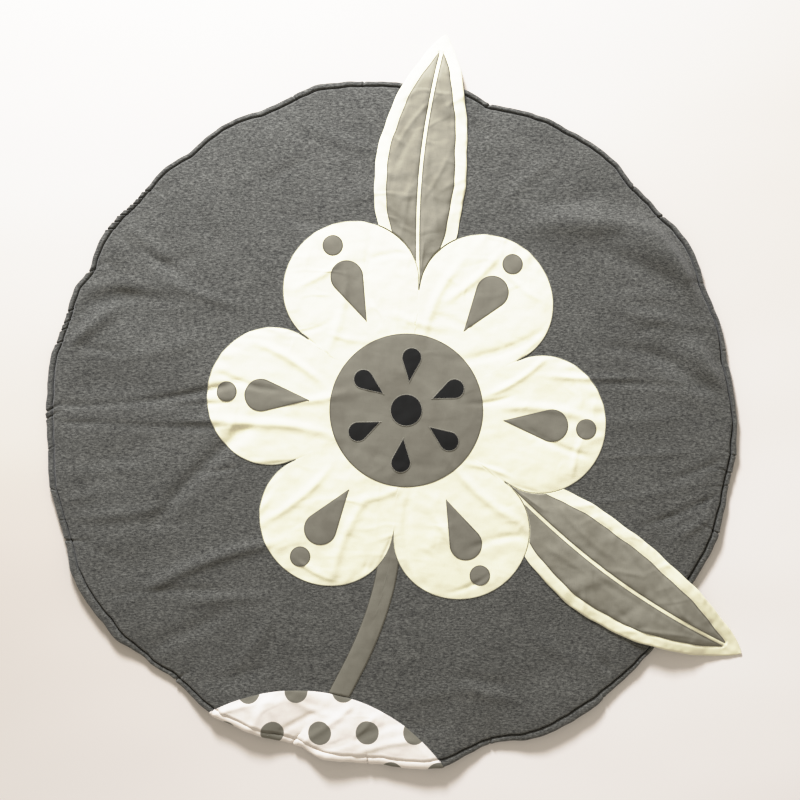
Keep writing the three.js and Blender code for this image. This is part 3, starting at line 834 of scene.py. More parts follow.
# Soft folds in the cream cloth, as it lies slack between its seams
blossomCreases = namedRows(creaseColumns, (
    (-64, 150, 78, 120, 5.1, 2.4, 8), (-30, 190, 96, 90, 4.2, -2.1, -6),
    (-88, 196, 32, 74, 3.4, 2.1, 4), (60, 165, 64, 110, 6, 2.5, -8),
    (112, 190, 42, 100, 5.1, 2.2, 6), (150, 96, 20, 120, 6, -2.4, 8),
    (205, 20, -8, 120, 6, 2.5, -7), (220, -30, -24, 90, 4.2, -2.1, 5),
    (170, 60, 34, 90, 4.2, 2.1, 5), (120, -96, -40, 120, 6, 2.5, 8),
    (86, -170, -66, 110, 5.1, 2.1, -7), (20, -140, -88, 90, 5.1, -2.4, 6),
    (-62, -150, -112, 120, 6, 2.5, 8), (-118, -96, -140, 110, 5.1, 2.1, -6),
    (-96, 32, 10, 90, 5.1, 2.1, 5), (-150, 0, 176, 140, 6, 2.8, 9),
    (-190, 52, 162, 90, 4.2, -2.1, -5), (-130, 84, 148, 110, 5.1, 2.1, 6),
    (-205, 12, 84, 60, 3.4, 2, 5), (0, 222, 8, 60, 3.4, -1.8, -4),
    (168, 180, -44, 60, 3.4, 1.8, 5), (240, -44, 78, 56, 3.4, 1.8, -4),
    (100, -214, 24, 60, 3.4, -1.8, 4), (-96, -196, -28, 64, 3.4, 2, 4),
    (140, -150, 12, 80, 4.2, -2, -5), (-40, -206, 66, 60, 3.4, -1.7, 3),
    (40, 130, -14, 70, 4.2, 1.7, 4), (-50, 110, -8, 60, 3.4, 1.5, 3),
    (128, 28, 8, 60, 3.4, -1.5, 3), (-20, -96, 14, 70, 4.2, 1.7, 4),
    (128, -58, -16, 60, 3.4, 1.5, -3), (-104, 124, 16, 60, 3.4, -1.7, 3),
    (88, 132, -24, 60, 3.4, -1.5, -3),
))

# Long soft folds across the round centre
centreCreases = namedRows(creaseColumns, (
    (-14, 52, 24, 130, 5, 0.9, 6), (48, 44, -38, 110, 5, 0.8, -5),
    (-40, -18, 68, 90, 5, -0.7, 4), (70, -20, 82, 80, 4, 0.7, -4),
    (20, -52, -12, 140, 5, -0.8, 6), (-6, -70, 30, 70, 4, 0.7, 3),
))

# Long folds of the hill's cloth, which start at the pleats of the rim
hillCreases = namedRows(creaseColumns, (
    (-86, -396, 36, 130, 5, 2.2, 5), (-58, -414, 17, 160, 5, -2, 6),
    (-176, -386, 62, 74, 6, 1.7, 4), (-6, -418, 12, 96, 5, 1.8, -4),
    (-150, -408, 100, 56, 5, -1.5, 3), (-104, -372, -22, 80, 5, 1.3, 3),
    (-214, -372, 20, 66, 5, 1.4, -3), (-30, -392, 48, 70, 4, 1.5, 3),
    (-128, -392, 28, 84, 4, -1.4, -3),
))


# The angle and the distance of a point from the blossom's middle
def fromBlossom(x, y):
    awayX, awayY = x - blossom["x"], y - blossom["y"]
    return np.degrees(np.arctan2(awayY, awayX)), np.hypot(awayX, awayY)


def blossomReach(degrees):
    along = np.radians((degrees - blossom["turn"]) * blossom["petals"] / 2)
    swell = np.abs(np.cos(along)) ** blossom["roundness"]
    return blossom["notch"] + (blossom["tip"] - blossom["notch"]) * swell


# Short puckers across a panel's edge, where its stitches draw the cloth in. Turn is the place on
# the outline in radians, and each wave fits round it a whole number of times.
def edgePucker(turn, radius, away, height, into=9):
    wave = 0
    for share, length, phase in ((1, 2.7, 0), (0.8, 4.3, 1.1), (0.6, 9.7, 0)):
        wave = wave + share * np.sin(round(radius / length) * turn + phase)
    wave = wave * (0.55 + 0.45 * np.sin(round(radius / 31) * turn + 0.7))
    return height * wave * np.exp(-((away - 0.8 * into) / into) ** 2)


# How thick a sewn cloth is, by how far in from its edge it is: the stitches press the edge down
def sewnThickness(sewn, away):
    return sewn["edge"] + (sewn["thickness"] - sewn["edge"]) * (1 - np.exp(-away / sewn["press"]))


# The values, bent softly so that none goes below the least
def keptAbove(values, least):
    return least + np.logaddexp(0, (values - least) * 4) / 4


def blossomTop(x, y):
    degrees, out = fromBlossom(x, y)
    away = np.clip(blossomReach(degrees) - out, 0, None)
    folds = creaseHeight(x, y, blossomCreases) + 0.12 * ripple(x - 9, y + 4, 26)
    loft = sewnThickness(panel, away) + (panel["puff"] + folds) * easeStep(away, 0, 22)
    loft = loft + edgePucker(np.radians(degrees), 210, away, 0.6)
    return matTop(x, y) + panel["clear"] + keptAbove(loft, panel["least"])


def centreTop(x, y):
    away = centreRadius - fromBlossom(x, y)[1]
    folds = creaseHeight(x, y, centreCreases) * easeStep(away, 2, 20)
    return patchTop(x, y, away, blossomTop) + folds


# The top of a patch that is sewn on the cloth below, whose height ground gives
def patchTop(x, y, away, ground):
    away = np.clip(away, 0, None)
    height = ground(x, y) + trim["clear"] + sewnThickness(trim, away)
    height = height + trim["puff"] * easeStep(away, 0, 12)
    height = height + 0.1 * ripple(x, y, 19) * easeStep(away, 0, 8)
    return height + edgePucker(np.arctan2(y, x), 229, away, 0.1, 4)


# A sheet that is drawn in towards its middle, ring by ring, from a closed outline
def outlineSheet(name, outline, middle, rings, topOf, groundOf, clear, material):
    shares = 1 - (1 - np.linspace(0, 1, rings + 1)[1:]) ** 1.5
    middle = np.asarray(middle, float)
    upper = []
    for share in shares:
        flat = middle + (outline - middle) * share
        away = np.linalg.norm(outline - middle, axis=1) * (1 - share)
        upper.append(np.column_stack([flat, topOf(flat[:, 0], flat[:, 1], away)]))
    lower = []
    for share in (1.0, 0.94, 0.7, 0.35):
        flat = middle + (outline - middle) * share
        lower.append(np.column_stack([flat, groundOf(flat[:, 0], flat[:, 1]) + clear]))
    centreX, centreY = np.array([middle[0]]), np.array([middle[1]])
    farAway = np.array([np.linalg.norm(outline - middle, axis=1).min()])
    poles = (
        (*middle, float(topOf(centreX, centreY, farAway)[0])),
        (*middle, float(groundOf(centreX, centreY)[0] + clear)),
    )
    return ringSkin(name, upper + lower, poles, material)


zigzag = {
    "pitch": 1.15,
    "patchPitch": 1.05,    # closer on the small patches
    "step": 0.55,          # how far on the thread comes back, on a slope
    "thread": 0.46,
    "inwards": 1.0,        # reach to either side of the edge, on the level and on a slope
    "outwards": 0.45,
    "outOnSlope": 0.5,
    "onPatch": 0.12,       # how high the thread lies on the patch and on the cloth round it
    "onCloth": 0.3,
}


# Where along a seam each zigzag starts
def zigzagMarks(walked):
    count = int(walked[-1] / zigzag["pitch"])
    return (np.arange(count) + 0.5) * walked[-1] / count


# Zigzag stitches over the edge of a patch, from its own top down to the cloth it is sewn on
def stitchEdge(
    name, outline, topOf, groundOf, material, closed=True, pitch=zigzag["pitch"],
):
    spots, heading = walkAlong(outline, pitch, closed)
    aside = np.column_stack([-heading[:, 1], heading[:, 0]])
    inner = spots + aside * zigzag["inwards"]
    outer = spots - aside * zigzag["outwards"]
    innerTop = np.column_stack([inner, topOf(inner[:, 0], inner[:, 1]) + zigzag["onPatch"]])
    outerTop = np.column_stack([outer, groundOf(outer[:, 0], outer[:, 1]) + zigzag["onCloth"]])
    shift = heading * pitch / 2
    innerTop[:, :2] += shift * 0.5
    outerTop[:, :2] -= shift * 0.5
    back = innerTop.copy()
    back[:, :2] -= shift
    starts = np.concatenate([outerTop, back])
    ends = np.concatenate([innerTop, outerTop])
    return addStitches(name, starts, ends, upright, zigzag["thread"], material)


def turnedOutline(points, degrees, x, y):
    angle = math.radians(degrees)
    across = points[:, 0] * math.cos(angle) - points[:, 1] * math.sin(angle)
    upwards = points[:, 0] * math.sin(angle) + points[:, 1] * math.cos(angle)
    return np.column_stack([across + x, upwards + y])


def circleOutline(radius, steps):
    angles = np.arange(steps) * 2 * np.pi / steps
    return np.column_stack([radius * np.cos(angles), radius * np.sin(angles)])


# A drop with its point at the origin and its round end along +X, walked the same way round
def dropOutline(length, width, steps):
    radius = width / 2
    middle = length - radius
    side = math.pi / 2 + math.asin(radius / middle)
    angles = np.linspace(-side, side, steps)
    arc = np.column_stack([middle + radius * np.cos(angles), radius * np.sin(angles)])
    straight = np.linspace(0, 1, steps // 3 + 1)[:-1, None]
    return np.concatenate([arc[:1] * straight, arc, arc[-1:] * (1 - straight[1:])])


def makeBlossom():
    angles = np.arange(0, 360, 0.5)
    reach = blossomReach(angles)
    turns = np.radians(angles)
    x = blossom["x"] + reach * np.cos(turns)
    y = blossom["y"] + reach * np.sin(turns)
    outline = np.column_stack([x, y])
    middle = (blossom["x"], blossom["y"])
    topOf = lambda x, y, away: blossomTop(x, y)
    piece = outlineSheet(
        "blossomPanel", outline, middle, 72, topOf, matTop, panel["clear"], cream,
    )
    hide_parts("blossom")
    stitchEdge("blossomStitches", outline, blossomTop, matTop, charcoalThread)


# One patch of a place on the blossom, with its zigzag
def makePatch(
    node, outline, middle, rings, ground, cloth, thread,
):
    topOf = lambda x, y, away: patchTop(x, y, away, ground)
    if node == "blossom_centre":
        topOf = lambda x, y, away: centreTop(x, y)
    piece = outlineSheet(
        node + "_patch", outline, middle, rings, topOf, ground, trim["clear"], cloth,
    )
    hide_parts(node)
    edgeTop = lambda x, y: ground(x, y) + trim["clear"] + trim["edge"] + 0.2
    stitchEdge(
        node + "_stitches", outline, edgeTop, ground, thread,
        pitch=zigzag["patchPitch"],
    )


def makeMarks():
    x, y = blossom["x"], blossom["y"]
    makePatch(
        "blossom_centre", circleOutline(centreRadius, 240) + (x, y), (x, y), 26,
        blossomTop, taupe, taupeThread,
    )
    makePatch(
        "seed_button", circleOutline(buttonRadius, 72) + (x, y), (x, y), 8,
        centreTop, black, paleThread,
    )
    dropShape = dropOutline(petalDrop["length"], petalDrop["width"], 60)
    for petal in range(blossom["petals"]):
        turn = blossom["turn"] + petal * 360 / blossom["petals"]
        between = turn + 180 / blossom["petals"]
        kinds = (
            ("petal_drop", dropShape, petalDrop["from"], turn),
            ("petal_dot", circleOutline(petalDot["radius"], 60), petalDot["from"], turn),
            ("seed", dropOutline(seed["length"], seed["width"], 48), seed["from"], between),
        )
        for kind, outline, start, heading in kinds:
            out = math.radians(heading)
            startX, startY = x + start * math.cos(out), y + start * math.sin(out)
            placed = turnedOutline(outline, heading, startX, startY)
            middle = placed.mean(axis=0)
            onCentre = kind == "seed"
            makePatch(
                f"{kind}_{petal + 1}", placed, middle, 9,
                centreTop if onCentre else blossomTop,
                black if onCentre else taupe,
                paleThread if onCentre else taupeThread,
            )


makeBlossom()
makeMarks()
print("blossom made")


# The stem, a strip between the blossom's edge and the hill's

stem = {
    "halfWidth": 13,
    "start": 0.3,          # clear of the blossom's edge and of the hill's
    "stop": 0.35,
    "steps": 500,
    "rows": 90,
    "columns": 19,
}
stemRoute = np.array([(2, -140), (-10, -215), (-36, -290), (-82, -380)], float)
hill = {
    "x": -125,
    "y": -588,
    "radius": 240,
    "clear": 0.15,
    "outerEdge": -0.3,     # it is caught under the roll this far round
    "within": 24,          # degrees to either side of its middle in which its ends are looked for
    "turnSteps": 4801,
    "leastInset": 0.6,
    "columns": 230,
    "rows": 60,
    "lineSteps": 90,
    "slackWidth": 16,      # the cloth comes free of its stitches over this width,
    "slack": 1.4,          # and stands this far off the mat
}


# A smooth line through the route's points, and its heading there
def routeAt(route, shares):
    place = np.clip(shares, 0, 1) * (len(route) - 1)
    low = np.minimum(place.astype(int), len(route) - 2)
    after = (place - low)[:, None]
    last = len(route) - 1
    before, start = route[np.maximum(low - 1, 0)], route[low]
    end, beyond = route[np.minimum(low + 1, last)], route[np.minimum(low + 2, last)]
    leaving, arriving = (end - start) / 2 + (start - before) / 2, (beyond - start) / 2
    cubic = 2 * start - 2 * end + leaving + arriving
    square = -3 * start + 3 * end - 2 * leaving - arriving
    point = cubic * after ** 3 + square * after ** 2 + leaving * after + start
    heading = 3 * cubic * after ** 2 + 2 * square * after + leaving
    return point, unitVectors(heading)


# How far a point lies outside the blossom's outline
def pastBlossom(x, y):
    degrees, out = fromBlossom(x, y)
    return out - blossomReach(degrees)


def stemTop(x, y, away):
    height = matTop(x, y) + panel["clear"] + sewnThickness(panel, np.clip(away, 0, None))
    return height + 0.35 * easeStep(away, 0, 9) + 0.15 * ripple(x, y, 17) * easeStep(away, 0, 5)


def makeStem():
    shares = np.linspace(0, 1, stem["steps"])
    rows = stem["rows"]
    centre, heading = routeAt(stemRoute, shares)
    aside = np.column_stack([-heading[:, 1], heading[:, 0]])
    across = np.linspace(-1, 1, stem["columns"])
    upper = np.zeros((rows, len(across), 3))
    lower = np.zeros_like(upper)
    for column, share in enumerate(across):
        line = centre + aside * share * stem["halfWidth"]
        offHill = np.hypot(line[:, 0] - hill["x"], line[:, 1] - hill["y"]) - hill["radius"]
        clear = (pastBlossom(line[:, 0], line[:, 1]) > stem["start"]) & (offHill > stem["stop"])
        marks = np.nonzero(clear)[0]
        places = np.linspace(marks[0], marks[-1], rows)
        along = np.interp(places, np.arange(stem["steps"]), shares)
        x = np.interp(along, shares, line[:, 0])
        y = np.interp(along, shares, line[:, 1])
        away = np.full(rows, stem["halfWidth"] * (1 - abs(share)))
        upper[:, column] = np.column_stack([x, y, stemTop(x, y, away)])
        lower[:, column] = np.column_stack([x, y, matTop(x, y) + panel["clear"]])
    piece = gridSheet("stemStrip", lower, upper, taupe)
    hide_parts("stem")
    edgeTop = lambda x, y: matTop(x, y) + panel["clear"] + panel["edge"] + 0.15
    for side, column in (("left", 0), ("right", -1)):
        line = upper[:, column, :2]
        line = line[::-1] if column == 0 else line
        name = "stem_stitches_" + side
        stitchEdge(name, line, edgeTop, matTop, taupeThread, closed=False)


# The hill lies over the shoulder, the sewn channel and the roll, square to the cloth below it

def makeHill():
    middleTurn = math.degrees(math.atan2(hill["y"], hill["x"])) % 360
    distance = math.hypot(hill["x"], hill["y"])
    lowest, highest = middleTurn - hill["within"], middleTurn + hill["within"]
    turns = np.linspace(lowest, highest, hill["turnSteps"])
    toMiddle = distance * np.cos(np.radians(turns - middleTurn))
    nearest = toMiddle ** 2 - distance ** 2 + hill["radius"] ** 2
    innerRadius = toMiddle - np.sqrt(np.clip(nearest, 0, None))
    inset = mat["radius"] + rimAt(turns, "reach") + rimRuffle(turns) - innerRadius
    reached = np.nonzero((nearest > 0) & (inset > hill["leastInset"]))[0]
    ends = turns[reached[0]], turns[reached[-1]]
    angles = np.linspace(*ends, hill["columns"])
    inset = np.interp(angles, turns, inset)
    roll = rimAt(angles, "roll")
    innermost = sectionAt(inset, roll)
    shares = (np.arange(hill["rows"] + 1) / hill["rows"]) ** 1.5
    sections = np.zeros((hill["rows"] + 1, hill["columns"]))
    lengths = np.zeros(hill["columns"])
    for column, angle in enumerate(angles):
        edge = innermost[column]
        fine = np.linspace(hill["outerEdge"], min(edge, 1), hill["lineSteps"])
        if edge > 1:
            beyond = (edge - 1) * np.linspace(0, 1, hill["lineSteps"])[1:]
            fine = np.concatenate([fine, 1 + beyond])
        line = matSkin(np.full(len(fine), angle), fine)
        walked = distanceAlong(line)
        lengths[column] = walked[-1]
        sections[:, column] = np.interp(shares * walked[-1], walked, fine)
    fromOuter = shares[:, None] * lengths[None, :]
    fromInner = (1 - shares[:, None]) * lengths[None, :]
    travel = np.radians(angles) * mat["radius"]
    fromEnds = np.minimum(travel - travel[0], travel[-1] - travel)[None, :] + 0 * fromOuter
    away = np.minimum(np.minimum(fromOuter, fromInner), fromEnds)
    flatTurns = angles[None, :] + 0 * sections
    gap = hill["clear"] + sewnThickness(panel, away)
    low = matSkin(flatTurns, sections)
    folds = creaseHeight(low[..., 0], low[..., 1], hillCreases)
    stands = hill["slack"] + 0.22 * ripple(low[..., 0] + 7, low[..., 1], 30) + folds
    gap = gap + keptAbove(easeStep(away, 0, hill["slackWidth"]) * stands, 0)
    pucker = edgePucker(np.radians(angles)[None, :], mat["radius"], fromInner, 0.4)
    gap = gap + pucker * easeStep(away, 0, 5)
    upper = offMatSkin(flatTurns, sections, gap)
    lower = offMatSkin(flatTurns, sections, np.full(gap.shape, hill["clear"]))
    piece = gridSheet("hillPanel", lower, upper, white)
    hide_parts("hill")
    stitchHill(angles, inset, ends)


# Zigzag stitches along the hill's inner edge, square to the cloth on the shoulder and the roll
def stitchHill(angles, inset, ends):
    fine = np.linspace(*ends, 3000)
    edge = np.interp(fine, angles, inset)
    roll = rimAt(fine, "roll")

    def onCloth(turn, fromRim, gap):
        width = np.interp(turn, fine, roll)
        return offMatSkin(turn, sectionAt(np.clip(fromRim, 0.05, None), width), gap)

    line = onCloth(fine, edge, np.full(len(fine), 0.2))
    walked = distanceAlong(line)
    marks = zigzagMarks(walked)
    count = len(marks)
    turn = np.interp(marks, walked, fine)
    later = np.interp(marks + zigzag["step"], walked, fine)
    fromRim = np.interp(turn, fine, edge)
    fromRimLater = np.interp(later, fine, edge)
    onPanel = np.full(count, panel["edge"] + 0.5)
    onMat = np.full(count, zigzag["onCloth"])
    inner = onCloth(turn, fromRim - zigzag["inwards"], onPanel)
    outer = onCloth(turn, fromRim + zigzag["outOnSlope"], onMat)
    outerLater = onCloth(later, fromRimLater + zigzag["outOnSlope"], onMat)
    square = onCloth(turn, fromRim, np.full(count, 1.2))
    square = square - onCloth(turn, fromRim, np.full(count, 0.2))
    square = unitVectors(square)
    addStitches(
        "hillStitches", np.concatenate([outer, inner]), np.concatenate([inner, outerLater]),
        np.concatenate([square, square]), zigzag["thread"], charcoalThread,
    )


makeStem()
makeHill()
print("stem and hill made")


# The padded leaves

leaf = {
    "edge": 2.4,
    "crown": 5,
    "seam": 1.4,
    "paddedBy": 55,
    "border": 16,
    "rib": 5,
    "narrowest": 1.5,
    "round": 3.2,          # radius over which the turned edge rounds off
    "seamDepth": 1.1,      # how far the inlay's stitches sink into the padding
    "seamWidth": 2.6,
    "rows": 170,
    "columns": 61,
}
halfInlay = {
    "rows": 150,
    "columns": 25,
    "steps": 3000,
    "clear": 0.8,          # clear of the blossom's edge, and this wide where it starts and ends
    "least": 0.6,          # nowhere narrower than this
    "stitchLift": 0.32,    # how far the zigzag lies above the inlay's edge, and how far it sinks
    "stitchSink": 0.2,     # where it comes down on the leaf
}
leafColumns = ("name", "turn", "from", "to", "half", "bend", "landing")
leaves = namedRows(leafColumns, (
    ("top_leaf", 84, 150, 497, 60, -14, 58),
    ("side_leaf", 324, 150, 545, 63, 18, 92),
))
drape = {"onMat": 13.4, "onFloor": 0.4, "rise": 1, "riseFrom": -50, "riseTo": -8, "fallFrom": 3}

# Long and slanting folds in the leaves, in their own lengths and offsets from the middle line:
# how far along, offset, heading off the line, length, half width, height and bow
leafCreases = {
    "top_leaf": namedRows(creaseColumns, (
        (96, -20, 7, 140, 4, 1.4, 6), (112, 22, -9, 120, 4, 1.2, -6),
        (172, -30, 17, 100, 4, -1.3, 5), (188, 12, -5, 140, 5, -1.1, -8),
        (226, -18, 30, 90, 3, 1.3, 5), (244, 26, -32, 84, 3, 1.2, -5),
        (292, 3, 9, 80, 4, 1.1, 4), (150, 44, 58, 44, 3, 0.9, 2), (206, -44, -54, 44, 3, 0.9, 2),
        (112, -40, -58, 36, 3, 0.8, 2), (262, 36, 48, 36, 3, 0.8, 2), (60, 4, 2, 80, 4, 0.9, 3),
        (140, -8, 42, 60, 3, 0.8, 3), (214, 34, -12, 90, 4, -0.9, 4),
        (158, 24, 24, 70, 3, 0.9, -3),
    )),
    "side_leaf": namedRows(creaseColumns, (
        (112, -22, 6, 160, 4, 1.4, -7), (128, 20, -7, 140, 4, 1.2, 6),
        (202, -34, 19, 100, 4, -1.3, 5), (224, 10, -4, 170, 5, -1.2, 8),
        (268, -22, 28, 100, 3, 1.4, -5), (286, 27, -26, 100, 3, 1.2, 5),
        (342, 0, 7, 90, 4, 1.1, -4), (182, 46, 56, 46, 3, 0.9, 2),
        (238, -46, -56, 46, 3, 0.9, 2), (128, -42, -60, 38, 3, 0.8, 2),
        (302, 38, 46, 42, 3, 0.9, 2), (70, -2, -3, 90, 4, 0.9, 3), (160, 6, 38, 70, 3, 0.9, 3),
        (250, 36, 10, 100, 4, -0.9, -4), (196, -10, -28, 76, 3, 0.9, 3),
    )),
}


def leafHalf(piece, share):
    swell = np.clip(np.sin(np.pi * share ** 0.87), 0, None)
    return np.maximum(piece["half"] * swell ** 0.7, leaf["narrowest"])


# The leaf's sewn edge, a little uneven from its turning
def leafEdge(piece, share, side):
    waver = 0.6 * np.sin(share * 29 + side * 1.3) + 0.3 * np.sin(share * 71 + side * 2.1 + 1)
    return leafHalf(piece, share) + waver * easeStep(share, 0, 0.2) * easeStep(1 - share, 0, 0.06)


def leafPoint(piece, share, offset):
    turn = math.radians(piece["turn"])
    reach = piece["from"] + (piece["to"] - piece["from"]) * share
    aside = offset + piece["bend"] * np.sin(np.pi * share)
    x = blossom["x"] + math.cos(turn) * reach + math.sin(turn) * aside
    y = blossom["y"] + math.sin(turn) * reach - math.cos(turn) * aside
    return x, y


# A leaf lies on the mat and over its rim, and falls to the floor beyond it
def leafUnderside(piece, x, y):
    degrees = np.degrees(np.arctan2(y, x)) % 360
    past = np.hypot(x, y) - mat["radius"] - rimAt(degrees, "reach")
    rise = drape["rise"] * easeStep(past, drape["riseFrom"], drape["riseTo"])
    overRim = drape["onMat"] + liftAt(degrees, -past) + rise
    overRim = overRim + matUnevenness(x, y) * (1 - easeStep(past, -60, -20))
    fallen = easeStep(past, drape["fallFrom"], piece["landing"])
    return overRim + (drape["onFloor"] - overRim) * fallen


# The top of a leaf at a share of its length and an offset to its right
def leafTop(piece, share, offset):
    x, y = leafPoint(piece, share, offset)
    half = leafEdge(piece, share, np.sign(offset))
    across = np.clip(np.abs(offset) / half, 0, 1)
    fill = easeStep(pastBlossom(x, y), 0, leaf["paddedBy"])
    crown = leaf["crown"] * (half / piece["half"]) * np.sqrt(1 - across ** 2)
    along = share * (piece["to"] - piece["from"])
    toEdge = np.minimum(half - np.abs(offset), (piece["to"] - piece["from"]) * (1 - share) + 0.6)
    inside = np.clip(1 - toEdge / leaf["round"], 0, 1)
    rounding = np.sqrt(1 - inside ** 2)
    toBorder = np.abs(np.abs(offset) - (half - leaf["border"]))
    toRib = np.abs(np.abs(offset) - leaf["rib"] / 2)
    sunk = np.exp(-(toBorder / leaf["seamWidth"]) ** 2)
    sunk = sunk + 0.8 * np.exp(-(toRib / leaf["seamWidth"]) ** 2)
    sunk = sunk * (half > leaf["border"] + leaf["rib"] / 2)
    folds = creaseHeight(along, offset, leafCreases[piece["name"]])
    pucker = 0.28 * np.sin(along / 2.3 + 2 * np.sin(along / 17)) * np.exp(-(toEdge / 7) ** 2)
    besideSeam = np.exp(-(toBorder / 6) ** 2)
    pucker = pucker + 0.22 * np.sin(along / 2.9 + 1.4 * np.sin(along / 13)) * besideSeam
    soft = 0.3 * ripple(x + 3, y - 8, 34) + 0.1 * ripple(x, y, 15)
    padded = crown - leaf["seamDepth"] * sunk + folds + pucker + soft
    thin = leaf["seam"] - leaf["edge"] / 2
    upper = leaf["edge"] / 2 * rounding + padded * rounding
    top = leafUnderside(piece, x, y) + leaf["edge"] / 2 + thin + (upper - thin) * fill
    return x, y, top, rounding


# The share of the leaf's length at which a line along it comes out from under the blossom
def outOfBlossom(piece, offsetAt, gap):
    shares = np.linspace(0, 0.6, 1200)
    x, y = leafPoint(piece, shares, offsetAt(shares))
    covered = np.nonzero(pastBlossom(x, y) < gap)[0]
    return shares[covered[-1] + 1] if len(covered) else 0.0


def makeLeaf(piece):
    across = np.sin(np.linspace(-np.pi / 2, np.pi / 2, leaf["columns"]))
    upper = np.zeros((leaf["rows"], leaf["columns"], 3))
    lower = np.zeros_like(upper)
    along = (1 - np.cos(np.pi * np.linspace(0.12, 1, leaf["rows"]))) / 2
    along = (along - along[0]) / (1 - along[0])
    for column, share in enumerate(across):
        side = np.sign(share)
        root = outOfBlossom(piece, lambda shares: share * leafEdge(piece, shares, side), 0.35)
        shares = root + (1 - root) * along
        offset = share * leafEdge(piece, shares, side)
        x, y, top, rounding = leafTop(piece, shares, offset)
        underside = leafUnderside(piece, x, y)
        half = np.minimum(leaf["edge"], top - underside) / 2
        upper[:, column] = np.column_stack([x, y, top])
        lower[:, column] = np.column_stack([x, y, underside + half * (1 - rounding) * 0.96])
    body = gridSheet(piece["name"] + "_padded", lower, upper, cream)
    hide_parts(piece["name"])
    for side, word in ((-1, "left"), (1, "right")):
        makeInlay(piece, side, word)


def makeInlay(piece, side, word):
    rows, columns = halfInlay["rows"], halfInlay["columns"]
    halfRib = leaf["rib"] / 2
    length = piece["to"] - piece["from"]
    shares = np.linspace(0, 1, halfInlay["steps"])
    width = leafEdge(piece, shares, side) - leaf["border"]
    wide = np.nonzero(width > halfRib + halfInlay["clear"])[0]
    first, last = shares[wide[0]], shares[wide[-1]]
    upper = np.zeros((rows, columns, 3))
    lower = np.zeros_like(upper)
    for column, share in enumerate(np.linspace(0, 1, columns)):
        def offsetAt(place):
            outer = leafEdge(piece, place, side) - leaf["border"]
            outer = np.maximum(outer, halfRib + halfInlay["least"])
            return side * (halfRib + (outer - halfRib) * share)

        root = max(outOfBlossom(piece, offsetAt, halfInlay["clear"]), first)
        place = root + (last - root) * (1 - (1 - np.linspace(0, 1, rows)) ** 1.3)
        offset = offsetAt(place)
        x, y, top = leafTop(piece, place, offset)[:3]
        outerAway = np.abs(offset - side * halfRib)
        reach = leafEdge(piece, place, side) - leaf["border"] - halfRib
        reach = np.maximum(reach, halfInlay["least"])
        away = np.minimum(outerAway, reach - outerAway)
        away = np.minimum(away, np.minimum((place - root) * length, (last - place) * length))
        away = np.clip(away, 0, None)
        underside = top + trim["clear"]
        upper[:, column] = np.column_stack([x, y, underside + sewnThickness(trim, away)])
        lower[:, column] = np.column_stack([x, y, underside])
    name = f"{piece['name']}_inlay_{word}"
    inlay = gridSheet(name + "_cloth", lower, upper, paleTaupe)
    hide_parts(name)
    stitchInlay(name, upper)


# Zigzag stitches along an inlay's two long edges, on the leaf's own slopes
def stitchInlay(name, upper):
    starts, ends = [], []
    for column, inwards in ((0, 3), (upper.shape[1] - 1, upper.shape[1] - 4)):
        line = upper[:, column]
        toMiddle = upper[:, inwards] - line
        flatLength = np.maximum(np.linalg.norm(toMiddle[:, :2], axis=1, keepdims=True), 0.4)
        toMiddle = toMiddle / flatLength
        packed = np.concatenate([line, toMiddle], axis=1)
        walked = distanceAlong(line)
        marks = zigzagMarks(walked)
        take = lambda at: np.stack([np.interp(at, walked, values) for values in packed.T], -1)
        here, later = take(marks), take(marks + zigzag["step"])
        lift = np.array([0, 0, halfInlay["stitchLift"]])
        sink = np.array([0, 0, halfInlay["stitchSink"]])
        inner = here[:, :3] + here[:, 3:] * zigzag["inwards"] + lift
        outer = here[:, :3] - here[:, 3:] * zigzag["outOnSlope"] - sink
        outerLater = later[:, :3] - later[:, 3:] * zigzag["outOnSlope"] - sink
        starts += [outer, inner]
        ends += [inner, outerLater]
    starts, ends = np.concatenate(starts), np.concatenate(ends)
    addStitches(name + "_stitches", starts, ends, upright, zigzag["thread"], taupeThread)


for piece in leaves:
    makeLeaf(piece)
print("leaves made")


# The floor, the light and the camera

studio = {
    "lens": 50,
    "height": 1.466,
    "middle": (0.0118, 0.0314),
    "floor": {
        "size": 8, "under": 0.0002,
        # painted shade: the floor's tone is greyer towards the far left, paler towards the near
        # side
        "tones": (linear(246, 242, 240), linear(217, 210, 202)),
        "greyer": 0.78, "greyerAlongX": -0.61, "greyerAlongY": 1.11,
        "folds": (360, 210), "foldHeight": 5,
    },
    "world": (0.455, (1.07, 0.98, 0.84)),
    "key": {
        "energy": 58, "size": 0.46, "distance": 1.9, "elevation": 32, "side": -13,
        "color": (0.98, 0.995, 1.055),
    },
    "tones": (
        (0, 0), (0.4, 0.405), (0.7, 0.73), (0.95, 0.888), (1.3, 0.955), (1.8, 0.988), (2.4, 1),
    ),
}
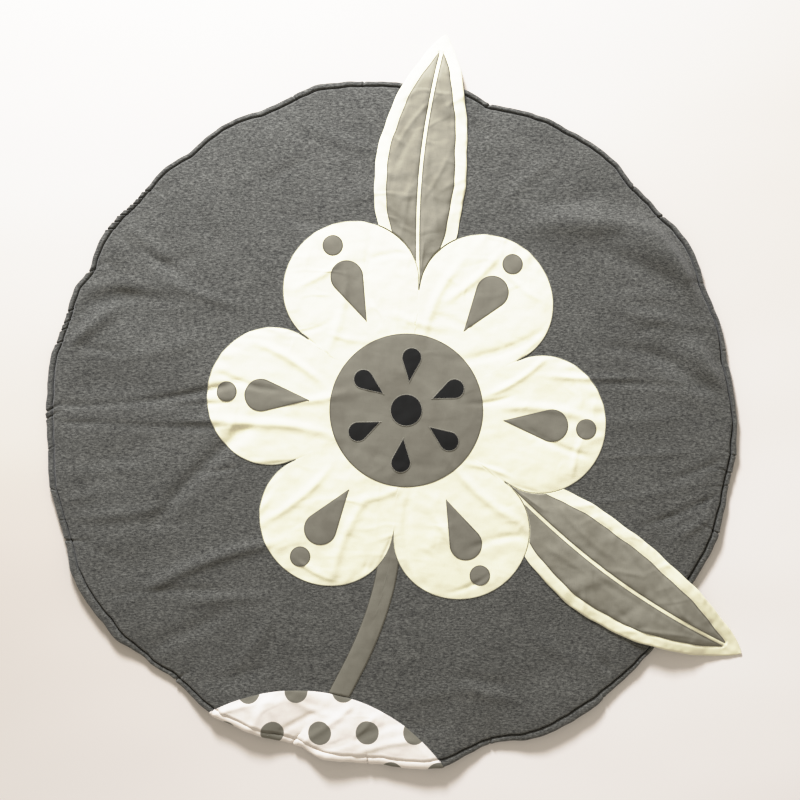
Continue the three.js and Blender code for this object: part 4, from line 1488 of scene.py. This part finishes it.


# The floor is a pale sheet with soft folds. Its tone is painted shade and light, greyer towards
# its far left,
# where the lamp is nearest, and paler towards the near side, against the lamp's fall-off
def makeStudio():
    ground = studio["floor"]
    bpy.ops.mesh.primitive_plane_add(size=ground["size"], location=(0, 0, -ground["under"]))
    floor = bpy.context.object
    floor.name = "floor"
    sheet = bpy.data.materials.new("paleSheet")
    sheet.use_nodes = True
    tree = sheet.node_tree
    shader = tree.nodes["Principled BSDF"]
    where = addNode(tree, "ShaderNodeTexCoord")
    place = addNode(tree, "ShaderNodeSeparateXYZ")
    tree.links.new(where.outputs["Object"], place.inputs["Vector"])
    share = addMath(
        tree, "MULTIPLY_ADD", place.outputs["Y"], ground["greyerAlongY"], ground["greyer"],
    )
    share = addMath(tree, "MULTIPLY_ADD", place.outputs["X"], ground["greyerAlongX"], share)
    tone = addMix(tree, addRange(tree, share, 0.0, 1.0), *ground["tones"])
    tree.links.new(tone, shader.inputs["Base Color"])
    shader.inputs["Roughness"].default_value = 0.9
    shader.inputs["Specular IOR Level"].default_value = 0.1
    soft = addNode(tree, "ShaderNodeBump", Strength=1.0, Distance=millimetre)
    folds = addGrain(tree, *ground["folds"], 1.0, 0.4, 0.5)
    folds = addMath(tree, "MULTIPLY", folds, ground["foldHeight"])
    tree.links.new(folds, soft.inputs["Height"])
    tree.links.new(soft.outputs["Normal"], shader.inputs["Normal"])
    floor.data.materials.append(sheet)

    world = bpy.data.worlds.new("studioWorld")
    world.use_nodes = True
    strength, tone = studio["world"]
    world.node_tree.nodes["Background"].inputs["Color"].default_value = (*tone, 1)
    world.node_tree.nodes["Background"].inputs["Strength"].default_value = strength
    bpy.context.scene.world = world

    key = studio["key"]
    raised, aside = math.radians(key["elevation"]), math.radians(key["side"])
    level = math.cos(raised)
    place = Vector((math.sin(aside) * level, math.cos(aside) * level, math.sin(raised)))
    bpy.ops.object.light_add(type="AREA", location=place * key["distance"])
    lamp = bpy.context.object
    lamp.rotation_euler = place.to_track_quat("Z", "Y").to_euler()
    lamp.data.shape = "DISK"
    lamp.data.size = key["size"]
    lamp.data.energy = key["energy"]
    lamp.data.color = key["color"]

    bpy.ops.object.camera_add(location=(*studio["middle"], studio["height"]), rotation=(0, 0, 0))
    camera = bpy.context.object
    camera.data.lens = studio["lens"]
    camera.data.sensor_width = 36
    bpy.context.scene.camera = camera
    softenHighlights()


# The pale cloths keep their folds in the bright light, as in a photograph's tones
def softenHighlights():
    view = bpy.context.scene.view_settings
    view.view_transform = "Standard"
    view.use_curve_mapping = True
    brightest = studio["tones"][-1][0]
    view.curve_mapping.white_level = (brightest, brightest, brightest)
    curve = view.curve_mapping.curves[3]
    for given, shown in studio["tones"][1:-1]:
        curve.points.new(given / brightest, shown)
    view.curve_mapping.update()


makeStudio()
print("studio made")
